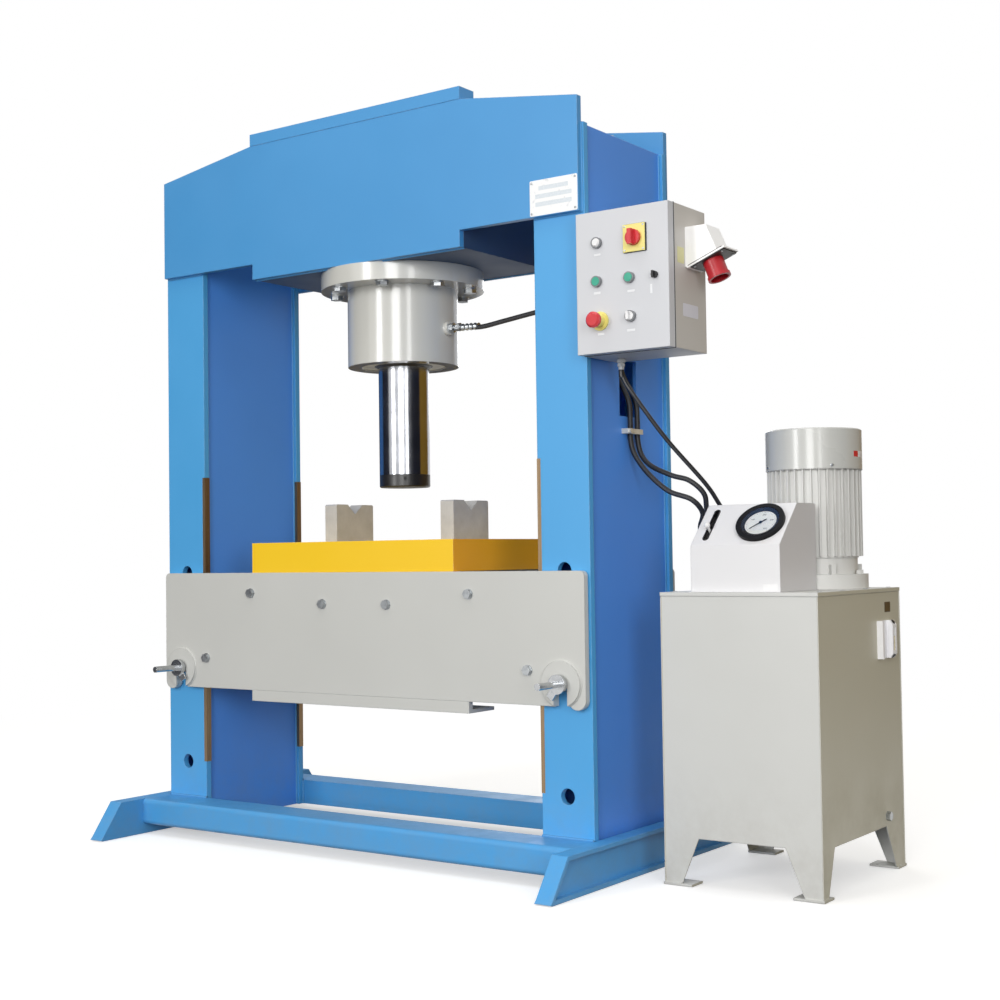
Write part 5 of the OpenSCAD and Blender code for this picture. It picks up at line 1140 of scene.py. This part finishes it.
placed = add(mark_tree, "GeometryNodeInstanceOnPoints",
             {"Points": spots, "Instance": mark, "Rotation": facing})
close_tree(mark_tree, placed, given["Finish"])

# 40 fine steps and 8 main ones go round from the needle's rest to its end. Every second main mark has
# its figure, from 0 to 400.
needle_rest, needle_sweep = 222, 270
for name, count, radius, long, wide in (("fine", 41, 0.0393, 0.0022, 0.0004),
                                        ("main", 9, 0.0384, 0.004, 0.0008)):
    marks = grown(f"gauge_marks_{name}", mark_tree, [(0, 0, 0)], Count=count, Radius=radius, Long=long,
                  Wide=wide, Start=math.radians(needle_rest - needle_sweep),
                  Sweep=math.radians(needle_sweep), Finish=dial_black)
    marks.data.transform(dial_place @ Matrix.Translation((0, 0, dial_z)))
    fit(marks, "frame")
figure_circle = 0.0295
for k in range(5):
    turn = math.radians(needle_rest - needle_sweep * k / 4)
    writing = bpy.data.curves.new("figure", "FONT")
    writing.body, writing.size, writing.extrude = str(100 * k), 0.0072, 0.00005
    writing.align_x, writing.align_y = "CENTER", "CENTER"
    holder = bpy.data.objects.new("figure", writing)
    scene.collection.objects.link(holder)
    figure = plain_mesh(holder, f"gauge_figure_{k + 1}")
    figure.data.materials.append(dial_black)
    figure.data.transform(dial_place @ Matrix.Translation(
        (figure_circle * math.cos(turn), figure_circle * math.sin(turn), dial_z)))
    fit(figure, "frame")

# Plain glass, 1 mm thick: it is nearly invisible but for the sheen of the room.
clear_glass, tree = blank("clear gauge glass")
place = add(tree, "ShaderNodeTexCoord").outputs["Object"]
film = add(tree, "ShaderNodeTexNoise", {"Vector": place, "Scale": 40.0, "Detail": 3.0})
rough = add(tree, "ShaderNodeMapRange", {"Value": film, "To Min": 0.01, "To Max": 0.06})
glass = add(tree, "ShaderNodeBsdfPrincipled", {"Base Color": linear("#fdfefe"), "Roughness": rough,
                                               "IOR": 1.45, "Transmission Weight": 1.0})
add(tree, "ShaderNodeOutputMaterial", {"Surface": glass})
disc("gauge_glass", "frame", dial_place, radius=0.0535, low=0.0092, high=0.0102,
     finish=clear_glass)


# ---------------------------------------------------------------- motor
# A flange motor that stands upright on the tank: body and fins are one aluminium casting, the fan
# cover is pressed sheet. Both wear pale grey machine enamel, thin enough to show the casting's grain.
motor_enamel = enamel("pale grey enamel on cast aluminium", "#dcdcda", "#d1d1ce", roughness=0.36, wear=0.15,
                      soil=0.1, grain=0.0035, relief=0.0003)
cover_enamel = enamel("pale grey enamel on pressed sheet", "#c9cac7", "#bfc0bc", roughness=0.26, wear=0.12,
                      soil=0.05, coat=0.4)
wear_it(motor_enamel, "motor_body")
wear_it(cover_enamel, "fan_cover")
wear_it(turned_steel, "motor_rotor")
wear_it(black_nylon, "motor_fan")
cover_low, cover_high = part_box("fan_cover")
motor_x, motor_y = (cover_low[0] + cover_high[0]) / 2, (cover_low[1] + cover_high[1]) / 2
cover_radius = (cover_high[0] - cover_low[0]) / 2
for k in range(4):
    turn = math.radians(45 + 90 * k)
    out = Vector((math.cos(turn), math.sin(turn), 0))
    heads(f"fan_cover_screw_{k + 1}", "frame", [
        Vector((motor_x, motor_y, cover_low[2] + 0.009)) + out * cover_radius],
        out, across=0.009, tall=0.003, sides=20, crown=0.7, socket=0.35)


def wrapped_label(name, bearing, z, wide, tall, finish, steps=8):
    """A thin label bent round the fan cover; bearing is in degrees, from the front towards the right."""
    turns = [math.radians(bearing) + wide / cover_radius * (k / steps - 0.5) for k in range(steps + 1)]
    points = [(motor_x + r * math.sin(a), motor_y - r * math.cos(a), z + dz)
              for r in (cover_radius - 0.0004, cover_radius + 0.0003) for dz in (-tall / 2, tall / 2)
              for a in turns]
    # The four rows of points, each as the number of its first point.
    inner_low, inner_top, outer_low, outer_top = (row * (steps + 1) for row in range(4))
    faces = [(outer_low + k, outer_low + k + 1, outer_top + k + 1, outer_top + k) for k in range(steps)]
    faces += [(inner_low + k + 1, inner_low + k, inner_top + k, inner_top + k + 1) for k in range(steps)]
    faces += [(inner_low + k, inner_low + k + 1, outer_low + k + 1, outer_low + k) for k in range(steps)]
    faces += [(outer_top + k, outer_top + k + 1, inner_top + k + 1, inner_top + k) for k in range(steps)]
    faces += [(inner_low, outer_low, outer_top, inner_top),
              (outer_low + steps, inner_low + steps, inner_top + steps, outer_top + steps)]
    fit(mesh_piece(name, points, faces, finish), "frame")


# A plain label on the cover's right side, red beside white.
wrapped_label("motor_label_red", 83, 1.131, wide=0.022, tall=0.016, finish=red_abs)
wrapped_label("motor_label_white", 94, 1.131, wide=0.027, tall=0.016, finish=white_abs)

# The terminal box at the back has a cast lid with a flat gasket, four screws and a blank steel plate.
box_face, box_middle_z, gasket_thick, lid_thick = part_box("motor_body")[1][1], 0.970, 0.002, 0.007
lid_face = box_face + gasket_thick + lid_thick
thin_plate("terminal_gasket", "frame", (motor_x, box_face, box_middle_z), facing_rear,
           0.122, 0.118, gasket_thick, nitrile, corner=0.006)
thin_plate("terminal_lid", "frame", (motor_x, box_face + gasket_thick, box_middle_z),
           facing_rear, 0.124, 0.12, lid_thick, motor_enamel, corner=0.007)
heads("terminal_screws", "frame", [
    (motor_x + sx * 0.053, lid_face, box_middle_z + sz * 0.051) for sx in both for sz in both],
    (0, 1, 0), across=0.008, tall=0.003, sides=20, crown=0.75, socket=0.35)
thin_plate("terminal_plate", "frame", (motor_x, lid_face, box_middle_z), facing_rear,
           0.06, 0.036, 0.0006, nickel, corner=0.002)
